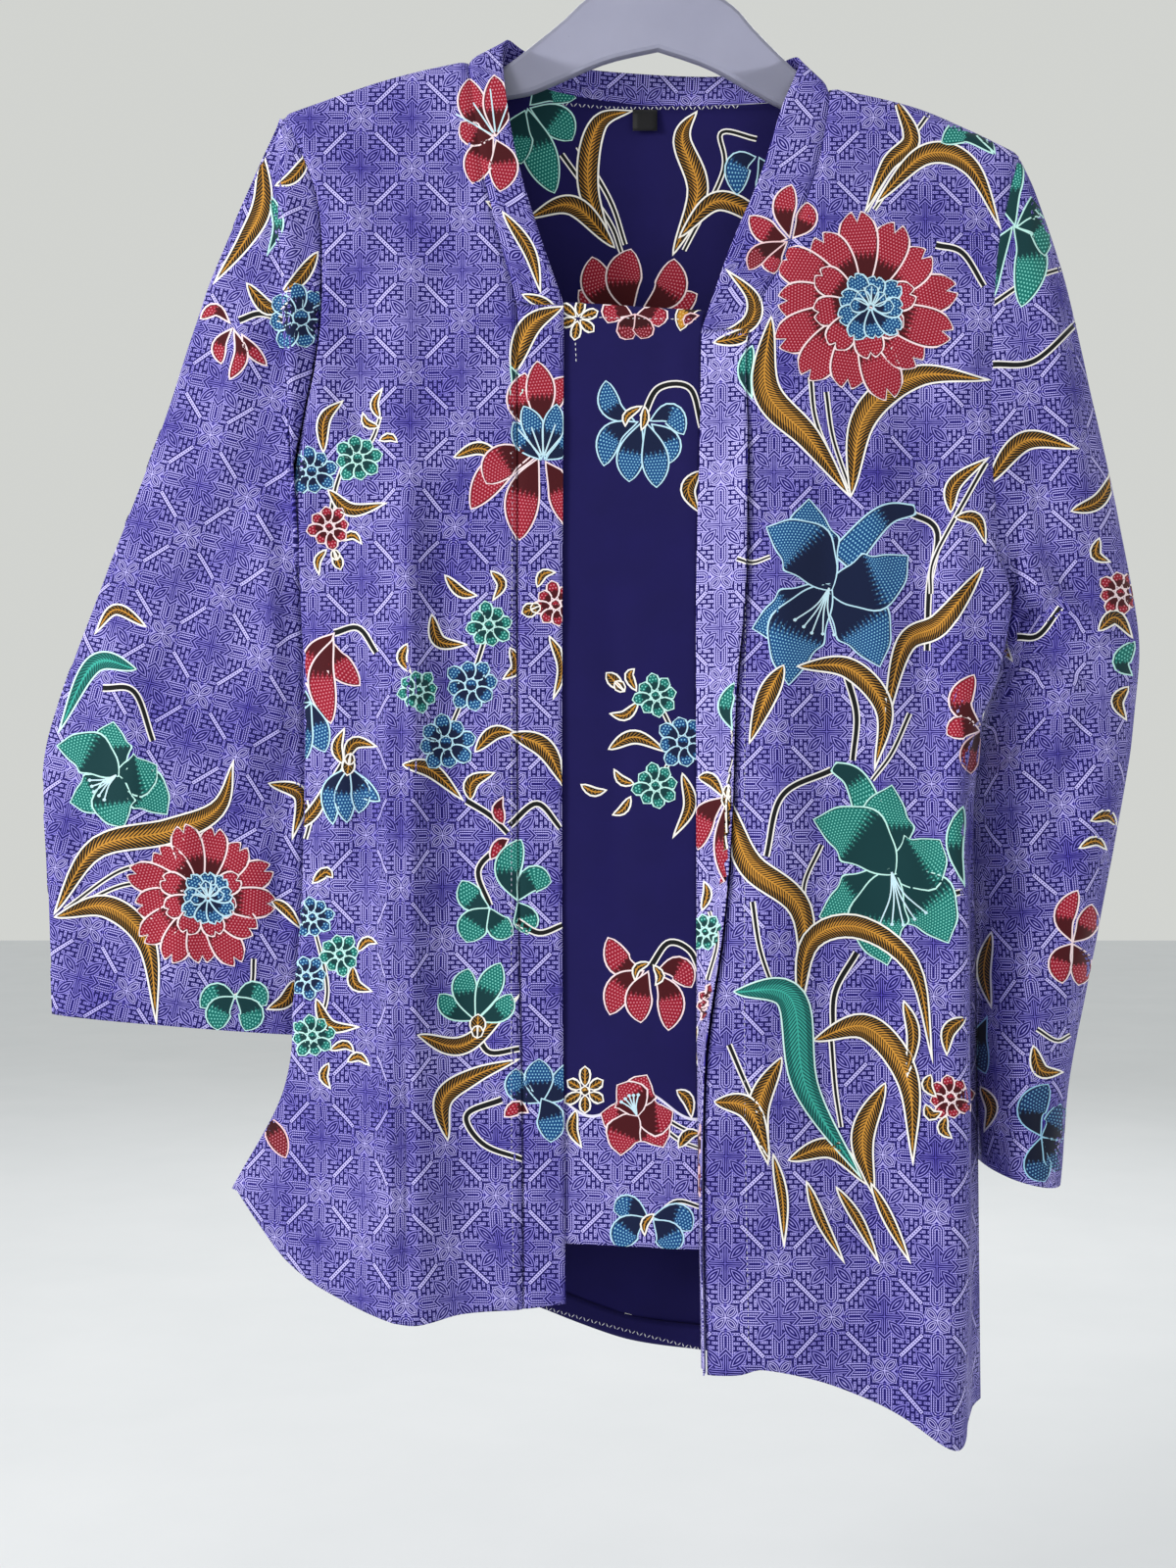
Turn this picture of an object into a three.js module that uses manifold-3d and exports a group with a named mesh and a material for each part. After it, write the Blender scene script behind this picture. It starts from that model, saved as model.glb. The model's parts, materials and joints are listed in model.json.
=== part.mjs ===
// Kebaya blouse hanging on a moulded plastic hanger: two fronts, a back, two long sleeves, a neck band,
// two front bands, and a centre panel between them. Millimetres. +Z is up, +X is the viewer's right and
// the front faces -Y. "Right" and "left" are the wearer's. The origin is the inside top of the hook,
// where it bears on a rail.

import * as THREE from "three";
import { mergeVertices } from "three/addons/utils/BufferGeometryUtils.js";
import Module from "manifold-3d";

const wasm = await Module();
wasm.setup();

// Cloth
const WALL = 1.2; // thickness of the cloth walls
const SEAM = 0.3; // gap between two pieces at a seam
const CURVE_ALLOWANCE = 0.2; // added at each sewn edge, because facets cut the corners of a curve
const BEND_ALLOWANCE = 0.45; // the same for the straight bands, whose seam bends sharply at the neck
const SEAM_BEVEL = 0.7; // how much further back the inside of a wall ends at a seam
const ROLL = 8; // height over which the cloth rounds over the hanger's arm
const NECK_SPREAD = 14; // width beside each neck point over which the rounding fades out
const RIGHT_CHEST = -390; // height of the underarm points, where the armholes end
const LEFT_CHEST = -408;

// Columns of a panel, and its rows over the hanger's arm, down to the underarm, and down to the hem
const PANEL_COLUMNS = 16;
const ROLL_ROWS = 3;
const CHEST_ROWS = 12;
const LOWER_ROWS = 12;
const PANEL_ROWS = ROLL_ROWS + CHEST_ROWS + LOWER_ROWS;
const ROLL_SHARE = ROLL_ROWS / PANEL_ROWS;
const CHEST_SHARE = (ROLL_ROWS + CHEST_ROWS) / PANEL_ROWS;
const SLEEVE_COLUMNS = 2 * (ROLL_ROWS + CHEST_ROWS); // so that a sleeve meets each row of the armhole
const SLEEVE_ROWS = 15;

// Hanger, in its own upright frame round the inside top of the hook
const HANGER_TILT = THREE.MathUtils.degToRad(-3);
const HANGER_THICKNESS = 8;
const HANGER_EDGE = 2.6; // rounding of its long edges
const HOOK_INNER = 17; // inside radius of the hook
const HOOK_ROD = 7; // thickness of the hook's rod
const HOOK_MOUTH = THREE.MathUtils.degToRad(205); // where the free end stops, from +X over the top
const HOOK_THROAT = THREE.MathUtils.degToRad(-20); // where the round part turns into the stem
const HUMP_TOP = -66; // where the hook's stem enters the body
const HOOK_STEM = [
  { x: 8, z: -37 },
  { x: 0.5, z: -48 },
  { x: 0, z: HUMP_TOP - 8 },
];
const ARM_TIP = 200; // from the middle to the end of an arm
const ARM_END = -145; // height of an arm's upper edge near its end, where the shoulders rest
const ARM_UNDERSIDE = -163; // height of its lower edge there

// Heights of the seams that cross the garment
const RIGHT_TIP = { x: -216, z: -138.5 };
const RIGHT_NECK = { x: -112, z: -107.5 };
const LEFT_NECK = { x: 91, z: -122.5 };
const LEFT_TIP = { x: 196, z: -159.5 };
const RIGHT_JOINT = -247; // where the neck band meets the right front band
const LEFT_JOINT = -262;
const RIGHT_BAND_HEM = { seam: -804, free: -801 };
const LEFT_BAND_HEM = { seam: -829, free: -831 };
const CENTRE_TOP = { right: -245, left: -251 };
const CENTRE_BOTTOM = -768;
const CENTRE_SETBACK = { right: 4.7 * SEAM, left: 1.7 * SEAM }; // gap between the panel and each band
const CENTRE_OVERLAP = { right: -4, left: 2 }; // how far it reaches past each band's free edge, in x

// The turned hem inside the back: its depth, its raw edge above the fold, and its shares of the back
const TURN_UP = { depth: 14, lift: 0.6, from: 0.1, to: 0.94 };

// The label inside the back, from the neck band's lower edge
const LABEL = { left: -19, right: -5, top: -127, bottom: -139, thickness: 0.9, gap: 1.2 };

// Which side of a surface faces out
const FRONT_SIDE = 1;
const BACK_SIDE = -1;

// Upper edges, as height over x
const RIGHT_SHOULDER = [
  RIGHT_TIP,
  { x: -171, z: -122.5 },
  { x: -144, z: -114.5 },
  RIGHT_NECK,
];
const LEFT_SHOULDER = [LEFT_NECK, { x: 137, z: -133.5 }, { x: 168, z: -146 }, LEFT_TIP];
const BACK_NECK = [
  RIGHT_NECK,
  { x: -88, z: -112.5 },
  { x: -58, z: -119 },
  { x: -14, z: -124 },
  { x: 37, z: -126 },
  { x: 70, z: -125.5 },
  LEFT_NECK,
];

// Lower edges, as height over x
const RIGHT_HEM = [
  { x: -246, z: -745 },
  { x: -234, z: -760 },
  { x: -216, z: -781 },
  { x: -190, z: -797 },
  { x: -146, z: -810 },
  { x: -115, z: -807 },
  { x: -81, z: -804 },
  { x: -57, z: -801 },
];
const LEFT_HEM = [
  { x: 14, z: -829 },
  { x: 36, z: -828 },
  { x: 48, z: -825 },
  { x: 77, z: -831 },
  { x: 103, z: -841 },
  { x: 125, z: -851 },
  { x: 152, z: -867 },
  { x: 169, z: -860 },
];
const BACK_HEM = [
  { x: -240, z: -752 },
  { x: -205, z: -771 },
  { x: -133, z: -797 },
  { x: -74, z: -816 },
  { x: -22, z: -834 },
  { x: 24, z: -841 },
  { x: 100, z: -852 },
  { x: 169, z: -860 },
];

// Guide lines that run down the garment: height z, place x, depth y
const RIGHT_SIDE_SEAM = [
  { z: -390, x: -206, y: -5 },
  { z: -410, x: -200, y: 0 },
  { z: -450, x: -195, y: 6 },
  { z: -540, x: -195, y: 8 },
  { z: -623, x: -200, y: 11 },
  { z: -685, x: -210, y: 17 },
  { z: -750, x: -240, y: 27 },
];
const LEFT_SIDE_SEAM = [
  { z: -408, x: 188, y: -4 },
  { z: -430, x: 183, y: -2 },
  { z: -458, x: 174, y: 0 },
  { z: -520, x: 165, y: 3 },
  { z: -596, x: 166, y: 6 },
  { z: -860, x: 169, y: 8 },
];
const RIGHT_FRONT_LINES = {
  side: [
    { z: -138, x: -216, y: -7 },
    { z: -158, x: -206, y: -9 },
    { z: -186, x: -196, y: -11 },
    { z: -222, x: -193, y: -12 },
    { z: -268, x: -195, y: -12 },
    { z: -312, x: -203, y: -12 },
    { z: -349, x: -208, y: -10 },
    ...RIGHT_SIDE_SEAM,
  ],
  edgeFold: [
    { z: -138, x: -209, y: -8 },
    { z: -186, x: -190, y: -12 },
    { z: -222, x: -187, y: -14 },
    { z: -312, x: -197, y: -14 },
    { z: -390, x: -203, y: -9 },
    { z: -412, x: -204, y: -5 },
    { z: -450, x: -203.5, y: -3 },
    { z: -540, x: -203, y: -2 },
    { z: -623, x: -208, y: 1 },
    { z: -685, x: -215, y: 9 },
    { z: -745, x: -246, y: 22 },
  ],
  hollow: [
    { z: -130, x: -184, y: -8 },
    { z: -222, x: -168, y: -13 },
    { z: -350, x: -176, y: -11 },
    { z: -540, x: -174, y: -9 },
    { z: -700, x: -176, y: -7 },
    { z: -790, x: -192, y: -4 },
  ],
  crease: [
    { z: -125, x: -156, y: -8 },
    { z: -222, x: -148, y: -14 },
    { z: -312, x: -146, y: -18 },
    { z: -540, x: -145, y: -23 },
    { z: -810, x: -145, y: -26 },
  ],
  flank: [
    { z: -115, x: -134, y: -8 },
    { z: -222, x: -120, y: -14 },
    { z: -312, x: -116, y: -15 },
    { z: -540, x: -116, y: -14 },
    { z: -810, x: -115, y: -13 },
  ],
  bandSeam: [
    { z: -107, x: -112, y: -8 },
    { z: -128, x: -109, y: -10 },
    { z: -168, x: -104, y: -12 },
    { z: -206, x: -95, y: -14 },
    { z: -247, x: -85, y: -15 },
    { z: -290, x: -84.5, y: -15 },
    { z: -540, x: -84, y: -15 },
    { z: -697, x: -81.5, y: -15 },
    { z: -810, x: -81, y: -15 },
  ],
};
const LEFT_FRONT_LINES = {
  bandSeam: [
    { z: -122, x: 91, y: -8 },
    { z: -145, x: 88, y: -10 },
    { z: -176, x: 81, y: -14 },
    { z: -222, x: 64, y: -18 },
    { z: -262, x: 44, y: -22 },
    { z: -325, x: 43, y: -25 },
    { z: -406, x: 42, y: -28 },
    { z: -460, x: 37, y: -31 },
    { z: -540, x: 34, y: -36 },
    { z: -595, x: 29, y: -41 },
    { z: -661, x: 20, y: -46 },
    { z: -744, x: 18, y: -50 },
    { z: -830, x: 19, y: -54 },
  ],
  flank: [
    { z: -130, x: 118, y: -9 },
    { z: -222, x: 96, y: -17 },
    { z: -325, x: 84, y: -25 },
    { z: -460, x: 76, y: -34 },
    { z: -595, x: 66, y: -44 },
    { z: -744, x: 58, y: -52 },
    { z: -840, x: 58, y: -58 },
  ],
  drape: [
    { z: -142, x: 152, y: -9 },
    { z: -222, x: 136, y: -14 },
    { z: -325, x: 126, y: -19 },
    { z: -460, x: 120, y: -27 },
    { z: -595, x: 112, y: -38 },
    { z: -744, x: 108, y: -47 },
    { z: -850, x: 108, y: -53 },
  ],
  edgeFold: [
    { z: -158, x: 188, y: -8 },
    { z: -214, x: 174, y: -14 },
    { z: -259, x: 170, y: -18 },
    { z: -314, x: 168, y: -21 },
    { z: -373, x: 171, y: -24 },
    { z: -407, x: 183, y: -25 },
    { z: -433, x: 181, y: -27 },
    { z: -460, x: 175, y: -30 },
    { z: -487, x: 162, y: -34 },
    { z: -519, x: 154, y: -38 },
    { z: -592, x: 157, y: -44 },
    { z: -764, x: 156, y: -55 },
    { z: -867, x: 152, y: -60 },
  ],
  side: [
    { z: -160, x: 196, y: -7 },
    { z: -185, x: 188, y: -9 },
    { z: -214, x: 181, y: -14 },
    { z: -259, x: 177, y: -18 },
    { z: -314, x: 175, y: -20 },
    { z: -373, x: 178, y: -18 },
    { z: -395, x: 183, y: -11 },
    ...LEFT_SIDE_SEAM,
  ],
};
const BACK_LINES = {
  rightSide: [
    { z: -138, x: -216, y: 7 },
    { z: -158, x: -207, y: 9 },
    { z: -186, x: -199, y: 11 },
    { z: -222, x: -196, y: 12 },
    { z: -268, x: -197, y: 12 },
    { z: -312, x: -203, y: 10 },
    { z: -349, x: -208, y: 4 },
    ...RIGHT_SIDE_SEAM,
  ],
  rightBlade: [
    { z: -107, x: -112, y: 9 },
    { z: -150, x: -122, y: 17 },
    { z: -250, x: -124, y: 23 },
    { z: -420, x: -124, y: 26 },
    { z: -620, x: -124, y: 31 },
    { z: -760, x: -134, y: 37 },
  ],
  middle: [
    { z: -124, x: -14, y: 25 },
    { z: -250, x: -14, y: 28 },
    { z: -500, x: -14, y: 31 },
    { z: -840, x: -14, y: 35 },
  ],
  leftBlade: [
    { z: -122, x: 91, y: 9 },
    { z: -160, x: 102, y: 16 },
    { z: -250, x: 102, y: 22 },
    { z: -450, x: 100, y: 25 },
    { z: -700, x: 100, y: 30 },
    { z: -850, x: 100, y: 33 },
  ],
  leftSide: [
    { z: -160, x: 196, y: 7 },
    { z: -185, x: 190, y: 9 },
    { z: -214, x: 184, y: 11 },
    { z: -259, x: 180, y: 12 },
    { z: -314, x: 179, y: 12 },
    { z: -373, x: 182, y: 7 },
    { z: -395, x: 186, y: 1 },
    ...LEFT_SIDE_SEAM,
  ],
};
const RIGHT_BAND_EDGE = [
  { z: -247, x: -58, y: -14 },
  { z: -540, x: -59, y: -14 },
  { z: -810, x: -57, y: -14 },
];
const LEFT_BAND_EDGE = [
  { z: -262, x: 18, y: -17 },
  { z: -325, x: 17, y: -18 },
  { z: -406, x: 15, y: -19 },
  { z: -540, x: 15, y: -22 },
  { z: -596, x: 15, y: -24 },
  { z: -663, x: 15, y: -26 },
  { z: -749, x: 16, y: -29 },
  { z: -831, x: 17, y: -33 },
];

// The neck band's free edge. Each row gives the height (fronts) or place (back) of its seam.
const COLLAR_RIGHT = [
  { seam: RIGHT_JOINT, x: -58, y: -14, z: -247 },
  { seam: -206, x: -72, y: -13, z: -206 },
  { seam: -168, x: -84, y: -11, z: -165 },
  { seam: -130, x: -91, y: -9.5, z: -123 },
  { seam: RIGHT_NECK.z, x: -91, y: 0, z: -96 },
];
const COLLAR_BACK = [
  { seam: -92, x: -79, y: 12, z: -98 },
  { seam: -64, x: -54, y: 20, z: -103.5 },
  { seam: -14, x: -13, y: 24.5, z: -106 },
  { seam: 38, x: 30, y: 20, z: -109 },
  { seam: 70, x: 56, y: 12, z: -107.5 },
];
const COLLAR_LEFT = [
  { seam: LEFT_NECK.z, x: 74, y: 0, z: -106 },
  { seam: -147, x: 63, y: -10, z: -137 },
  { seam: -180, x: 51, y: -12, z: -175 },
  { seam: -222, x: 34, y: -15, z: -216 },
  { seam: LEFT_JOINT, x: 18, y: -17, z: -262 },
];

// Sleeve rings from armhole to cuff: outer and inner fold, and how far the ring bulges to each face.
// "at" is the share of the way down the sleeve.
const RIGHT_SLEEVE = [
  { at: 0, outX: -216, outY: 0, outZ: -138.5, inX: -206, inY: -5, inZ: -390, front: 11, back: 10 },
  { at: 0.04, outX: -217, outY: 0, outZ: -140, inX: -206.5, inY: -4, inZ: -391, front: 12, back: 10 },
  { at: 0.06, outX: -219, outY: 1, outZ: -145, inX: -207, inY: -2, inZ: -394, front: 5, back: 10 },
  { at: 0.13, outX: -230, outY: 1, outZ: -169, inX: -207, inY: 1, inZ: -403, front: 7, back: 11 },
  { at: 0.25, outX: -257, outY: 2, outZ: -232, inX: -204, inY: 6, inZ: -425, front: 10, back: 12 },
  { at: 0.38, outX: -285, outY: 4, outZ: -314, inX: -201, inY: 11, inZ: -469, front: 11, back: 12 },
  { at: 0.52, outX: -316, outY: 6, outZ: -394, inX: -200, inY: 13, inZ: -515, front: 12, back: 12 },
  { at: 0.66, outX: -343, outY: 8, outZ: -466, inX: -200, inY: 14, inZ: -560, front: 13, back: 12 },
  { at: 0.75, outX: -352, outY: 8, outZ: -505, inX: -202, inY: 14, inZ: -592, front: 12, back: 12 },
  { at: 0.86, outX: -350, outY: 8, outZ: -560, inX: -205, inY: 16, inZ: -625, front: 11, back: 12 },
  { at: 1, outX: -347, outY: 8, outZ: -643, inX: -211, inY: 19, inZ: -656, front: 10, back: 12 },
];
const LEFT_SLEEVE = [
  { at: 0, outX: 196, outY: 0, outZ: -159.5, inX: 188, inY: -4, inZ: -408, front: 18, back: 12 },
  { at: 0.06, outX: 206, outY: 1, outZ: -181, inX: 191.5, inY: 0, inZ: -416, front: 20, back: 16 },
  { at: 0.16, outX: 222, outY: 4, outZ: -225, inX: 189, inY: 4, inZ: -433, front: 23, back: 20 },
  { at: 0.28, outX: 239, outY: 9, outZ: -291, inX: 183, inY: 10, inZ: -462, front: 27, back: 26 },
  { at: 0.4, outX: 256, outY: 14, outZ: -362, inX: 176, inY: 15, inZ: -492, front: 31, back: 31 },
  { at: 0.52, outX: 268, outY: 18, outZ: -424, inX: 172, inY: 18, inZ: -523, front: 35, back: 34 },
  { at: 0.62, outX: 267, outY: 20, outZ: -470, inX: 170, inY: 20, inZ: -554, front: 36, back: 37 },
  { at: 0.73, outX: 258, outY: 22, outZ: -531, inX: 171, inY: 20, inZ: -593, front: 40, back: 40 },
  { at: 0.83, outX: 243, outY: 25, outZ: -610, inX: 173, inY: 17, inZ: -637, front: 46, back: 46 },
  { at: 0.92, outX: 230, outY: 28, outZ: -680, inX: 174, inY: 14, inZ: -681, front: 51, back: 51 },
  { at: 1, outX: 224, outY: 30, outZ: -738, inX: 177, inY: 11, inZ: -726, front: 55, back: 55 },
];

// Smooth value of one column of a table, whose rows run up or down in another column.
function tableValue(rows, by, key, value) {
  const last = rows.length - 1;
  const up = rows[last][by] > rows[0][by] ? 1 : -1;
  if (up * (value - rows[0][by]) <= 0) return rows[0][key];
  if (up * (value - rows[last][by]) >= 0) return rows[last][key];
  let i = 0;
  while (up * (rows[i + 1][by] - value) < 0) i += 1;
  const slope = (a, b) => (rows[b][key] - rows[a][key]) / (rows[b][by] - rows[a][by]);
  const span = rows[i + 1][by] - rows[i][by];
  const t = (value - rows[i][by]) / span;
  const startSlope = slope(Math.max(i - 1, 0), i + 1) * span;
  const endSlope = slope(i, Math.min(i + 2, last)) * span;
  const start = rows[i][key];
  const rise = rows[i + 1][key] - start;
  const bend = startSlope + endSlope - 2 * rise;
  return start + t * (startSlope + t * (3 * rise - 2 * startSlope - endSlope + t * bend));
}

// Where the search for the height of a panel's edges starts, and how many steps it takes
const EDGE_SEARCH = { top: -130, hem: -800, steps: 8 };

// A cloth panel: guide lines at even shares across it, between an upper and a lower edge.
// The result has the point at a share across and a height, and at two shares.
function makePanel({ lines, top, hem, chest, rollWeight }) {
  const guides = Object.values(lines);
  const flatPoint = (across, z) => {
    const row = guides.map((guide, i) => ({
      at: i / (guides.length - 1),
      x: tableValue(guide, "z", "x", z),
      y: tableValue(guide, "z", "y", z),
    }));
    return new THREE.Vector3(
      tableValue(row, "at", "x", across),
      tableValue(row, "at", "y", across),
      z,
    );
  };
  const edgeHeight = (edge, across, start) => {
    let z = start;
    for (let i = 0; i < EDGE_SEARCH.steps; i += 1) z = edge(flatPoint(across, z).x);
    return z;
  };
  const topAt = (across) => edgeHeight(top, across, EDGE_SEARCH.top);
  const at = (across, z, topHeight) => {
    const point = flatPoint(across, z);
    const below = Math.max(0, topHeight - z);
    const rounding = below < ROLL ? Math.sqrt(1 - (1 - below / ROLL) ** 2) : 1;
    point.y *= 1 - rollWeight(point.x) * (1 - rounding);
    return point;
  };
  const surface = (across, down) => {
    const topHeight = topAt(across);
    const rollHeight = topHeight - ROLL;
    const chestHeight = THREE.MathUtils.lerp(...chest, across);
    if (down < ROLL_SHARE) {
      const turn = (down / ROLL_SHARE) * (Math.PI / 2);
      return at(across, topHeight - ROLL * (1 - Math.cos(turn)), topHeight);
    }
    if (down < CHEST_SHARE) {
      const part = (down - ROLL_SHARE) / (CHEST_SHARE - ROLL_SHARE);
      const eased = (1 - Math.cos(part * Math.PI)) / 2;
      return at(across, THREE.MathUtils.lerp(rollHeight, chestHeight, eased), topHeight);
    }
    const hemHeight = edgeHeight(hem, across, EDGE_SEARCH.hem);
    const part = (down - CHEST_SHARE) / (1 - CHEST_SHARE);
    return at(across, THREE.MathUtils.lerp(chestHeight, hemHeight, part), topHeight);
  };
  return { surface, at, topAt };
}

// The normal of a surface, on the chosen side of it.
function surfaceNormal(surface, u, v, side) {
  const step = 0.006;
  const u0 = Math.max(0, u - step);
  const u1 = Math.min(1, u + step);
  const v0 = Math.max(0, v - step);
  const v1 = Math.min(1, v + step);
  const across = surface(u1, v).sub(surface(u0, v));
  const down = surface(u, v1).sub(surface(u, v0));
  return across.cross(down).normalize().multiplyScalar(side);
}

// How much of a parameter covers a distance from the edge where it is 0.
function insetShare(pointAt, distance) {
  if (distance <= 0) return 0;
  const edge = pointAt(0);
  const halvings = 18;
  let low = 0;
  let high = 0.2;
  for (let i = 0; i < halvings; i += 1) {
    const middle = (low + high) / 2;
    if (pointAt(middle).distanceTo(edge) < distance) low = middle;
    else high = middle;
  }
  return low;
}

// Points of one face of a wall, drawn back from the edges that are sewn.
function faceGrid(surface, columns, rows, sewn, margin, round) {
  const distance = (edge) => (sewn.includes(edge) ? margin : 0);
  const grid = [];
  for (let j = 0; j <= rows; j += 1) {
    const share = j / rows;
    const line = [];
    const left = round ? 0 : insetShare((s) => surface(s, share), distance("left"));
    const right = round ? 0 : insetShare((s) => surface(1 - s, share), distance("right"));
    for (let i = 0; i <= columns; i += 1) {
      const u = left + (1 - left - right) * (i / columns);
      const upper = insetShare((s) => surface(u, s), distance("top"));
      const lower = insetShare((s) => surface(u, 1 - s), distance("bottom"));
      line.push([u, upper + (1 - upper - lower) * share]);
    }
    grid.push(line);
  }
  return grid;
}

// A closed wall on a surface. Its outer face is the surface and its thickness goes inwards.
function wall(surface, options) {
  const { columns, rows, side = FRONT_SIDE, sewn = [], thickness = WALL, round = false } = options;
  const margin = SEAM / 2 + (options.allowance ?? CURVE_ALLOWANCE);
  const positions = [];
  const count = round ? columns : columns + 1;
  for (const inner of [false, true]) {
    const grid = faceGrid(surface, columns, rows, sewn, margin + (inner ? SEAM_BEVEL : 0), round);
    for (const line of grid) {
      for (const [u, v] of line.slice(0, count)) {
        const point = surface(u, v);
        if (inner) point.addScaledVector(surfaceNormal(surface, u, v, side), -thickness);
        positions.push(point.x, point.y, point.z);
      }
    }
  }
  const layer = count * (rows + 1);
  const vertex = (i, j, inner) => (inner ? layer : 0) + j * count + (i % count);
  const index = [];
  const quad = (a, b, c, d) => {
    const order = side > 0 ? [a, b, c, a, c, d] : [a, c, b, a, d, c];
    index.push(...order);
  };
  for (let j = 0; j < rows; j += 1) {
    for (let i = 0; i < columns; i += 1) {
      for (const inner of [false, true]) {
        const corners = [
          vertex(i, j, inner),
          vertex(i + 1, j, inner),
          vertex(i + 1, j + 1, inner),
          vertex(i, j + 1, inner),
        ];
        quad(...(inner ? corners.reverse() : corners));
      }
    }
  }
  const rim = (from, to) =>
    quad(vertex(...from, true), vertex(...to, true), vertex(...to), vertex(...from));
  for (let i = 0; i < columns; i += 1) {
    rim([i, 0], [i + 1, 0]);
    rim([i + 1, rows], [i, rows]);
  }
  for (let j = 0; j < rows && !round; j += 1) {
    rim([columns, j], [columns, j + 1]);
    rim([0, j + 1], [0, j]);
  }
  const geometry = new THREE.BufferGeometry();
  geometry.setAttribute("position", new THREE.Float32BufferAttribute(positions, 3));
  geometry.setIndex(index);
  geometry.computeVertexNormals();
  return geometry;
}

// The panels' surfaces, which the sewn-on pieces share
const always = () => 1;
const backRoll = (x) => {
  const right = THREE.MathUtils.smoothstep(-x, -RIGHT_NECK.x - NECK_SPREAD, -RIGHT_NECK.x);
  const left = THREE.MathUtils.smoothstep(x, LEFT_NECK.x - NECK_SPREAD, LEFT_NECK.x);
  return Math.max(right, left);
};
const backTop = (x) => {
  if (x <= RIGHT_NECK.x) return tableValue(RIGHT_SHOULDER, "x", "z", x);
  if (x >= LEFT_NECK.x) return tableValue(LEFT_SHOULDER, "x", "z", x);
  return tableValue(BACK_NECK, "x", "z", x);
};
const rightFront = makePanel({
  lines: RIGHT_FRONT_LINES,
  top: (x) => tableValue(RIGHT_SHOULDER, "x", "z", x),
  hem: (x) => tableValue(RIGHT_HEM, "x", "z", x),
  chest: [RIGHT_CHEST, RIGHT_CHEST],
  rollWeight: always,
});
const leftFront = makePanel({
  lines: LEFT_FRONT_LINES,
  top: (x) => tableValue(LEFT_SHOULDER, "x", "z", x),
  hem: (x) => tableValue(LEFT_HEM, "x", "z", x),
  chest: [LEFT_CHEST, LEFT_CHEST],
  rollWeight: always,
});
const back = makePanel({
  lines: BACK_LINES,
  top: backTop,
  hem: (x) => tableValue(BACK_HEM, "x", "z", x),
  chest: [RIGHT_CHEST, LEFT_CHEST],
  rollWeight: backRoll,
});

// The points where a panel's rows meet one of its side edges, so that a neighbour can follow its facets
function edgeRows(panel, across) {
  const points = [];
  for (let j = 0; j <= PANEL_ROWS; j += 1) points.push(panel.surface(across, j / PANEL_ROWS));
  return points;
}

// The points where a panel's columns meet its upper edge
function topRow(panel, columns) {
  const points = [];
  for (let i = 0; i <= columns; i += 1) points.push(panel.surface(i / columns, 0));
  return points;
}

// The place on a chain of points where one coordinate has a value.
function onChain(points, key, value) {
  const up = points[points.length - 1][key] > points[0][key] ? 1 : -1;
  let i = 0;
  while (i < points.length - 2 && up * (points[i + 1][key] - value) < 0) i += 1;
  const part = (value - points[i][key]) / (points[i + 1][key] - points[i][key]);
  return points[i].clone().lerp(points[i + 1], THREE.MathUtils.clamp(part, 0, 1));
}

const rightBandSeam = edgeRows(rightFront, 1);
const leftBandSeam = edgeRows(leftFront, 0);
const backTopRow = topRow(back, PANEL_COLUMNS);

// A straight strip between two edges, each a point at a height, from one height to another.
function strip(leftEdge, rightEdge, topHeights, bottomHeights) {
  const lerp = THREE.MathUtils.lerp;
  return (across, down) => {
    const z = lerp(lerp(...topHeights, across), lerp(...bottomHeights, across), down);
    return leftEdge(z).lerp(rightEdge(z), across);
  };
}

// A guide line as a point at a height, moved by x and y.
function guideEdge(line, x = 0, y = 0) {
  return (z) =>
    new THREE.Vector3(tableValue(line, "z", "x", z) + x, tableValue(line, "z", "y", z) + y, z);
}

// The neck band: along its length, and from its seam to its free edge.
function collarSurface() {
  const rows = [...COLLAR_RIGHT, ...COLLAR_BACK, ...COLLAR_LEFT];
  const lastRight = COLLAR_RIGHT.length - 1;
  const firstLeft = lastRight + COLLAR_BACK.length + 1;
  const freePoints = rows.map((row) => new THREE.Vector3(row.x, row.y, row.z));
  const freeEdge = new THREE.CatmullRomCurve3(freePoints);
  const seamPoint = (share) => {
    const place = share * (rows.length - 1);
    const i = Math.min(Math.floor(place), rows.length - 2);
    const part = place - i;
    if (i < lastRight) {
      const z = THREE.MathUtils.lerp(rows[i].seam, rows[i + 1].seam, part);
      return onChain(rightBandSeam, "z", z);
    }
    if (i >= firstLeft) {
      const z = THREE.MathUtils.lerp(rows[i].seam, rows[i + 1].seam, part);
      return onChain(leftBandSeam, "z", z);
    }
    const start = i === lastRight ? RIGHT_NECK.x : rows[i].seam;
    const end = i + 1 === firstLeft ? LEFT_NECK.x : rows[i + 1].seam;
    return onChain(backTopRow, "x", THREE.MathUtils.lerp(start, end, part));
  };
  return (along, across) => seamPoint(along).lerp(freeEdge.getPoint(along), across);
}

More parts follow.
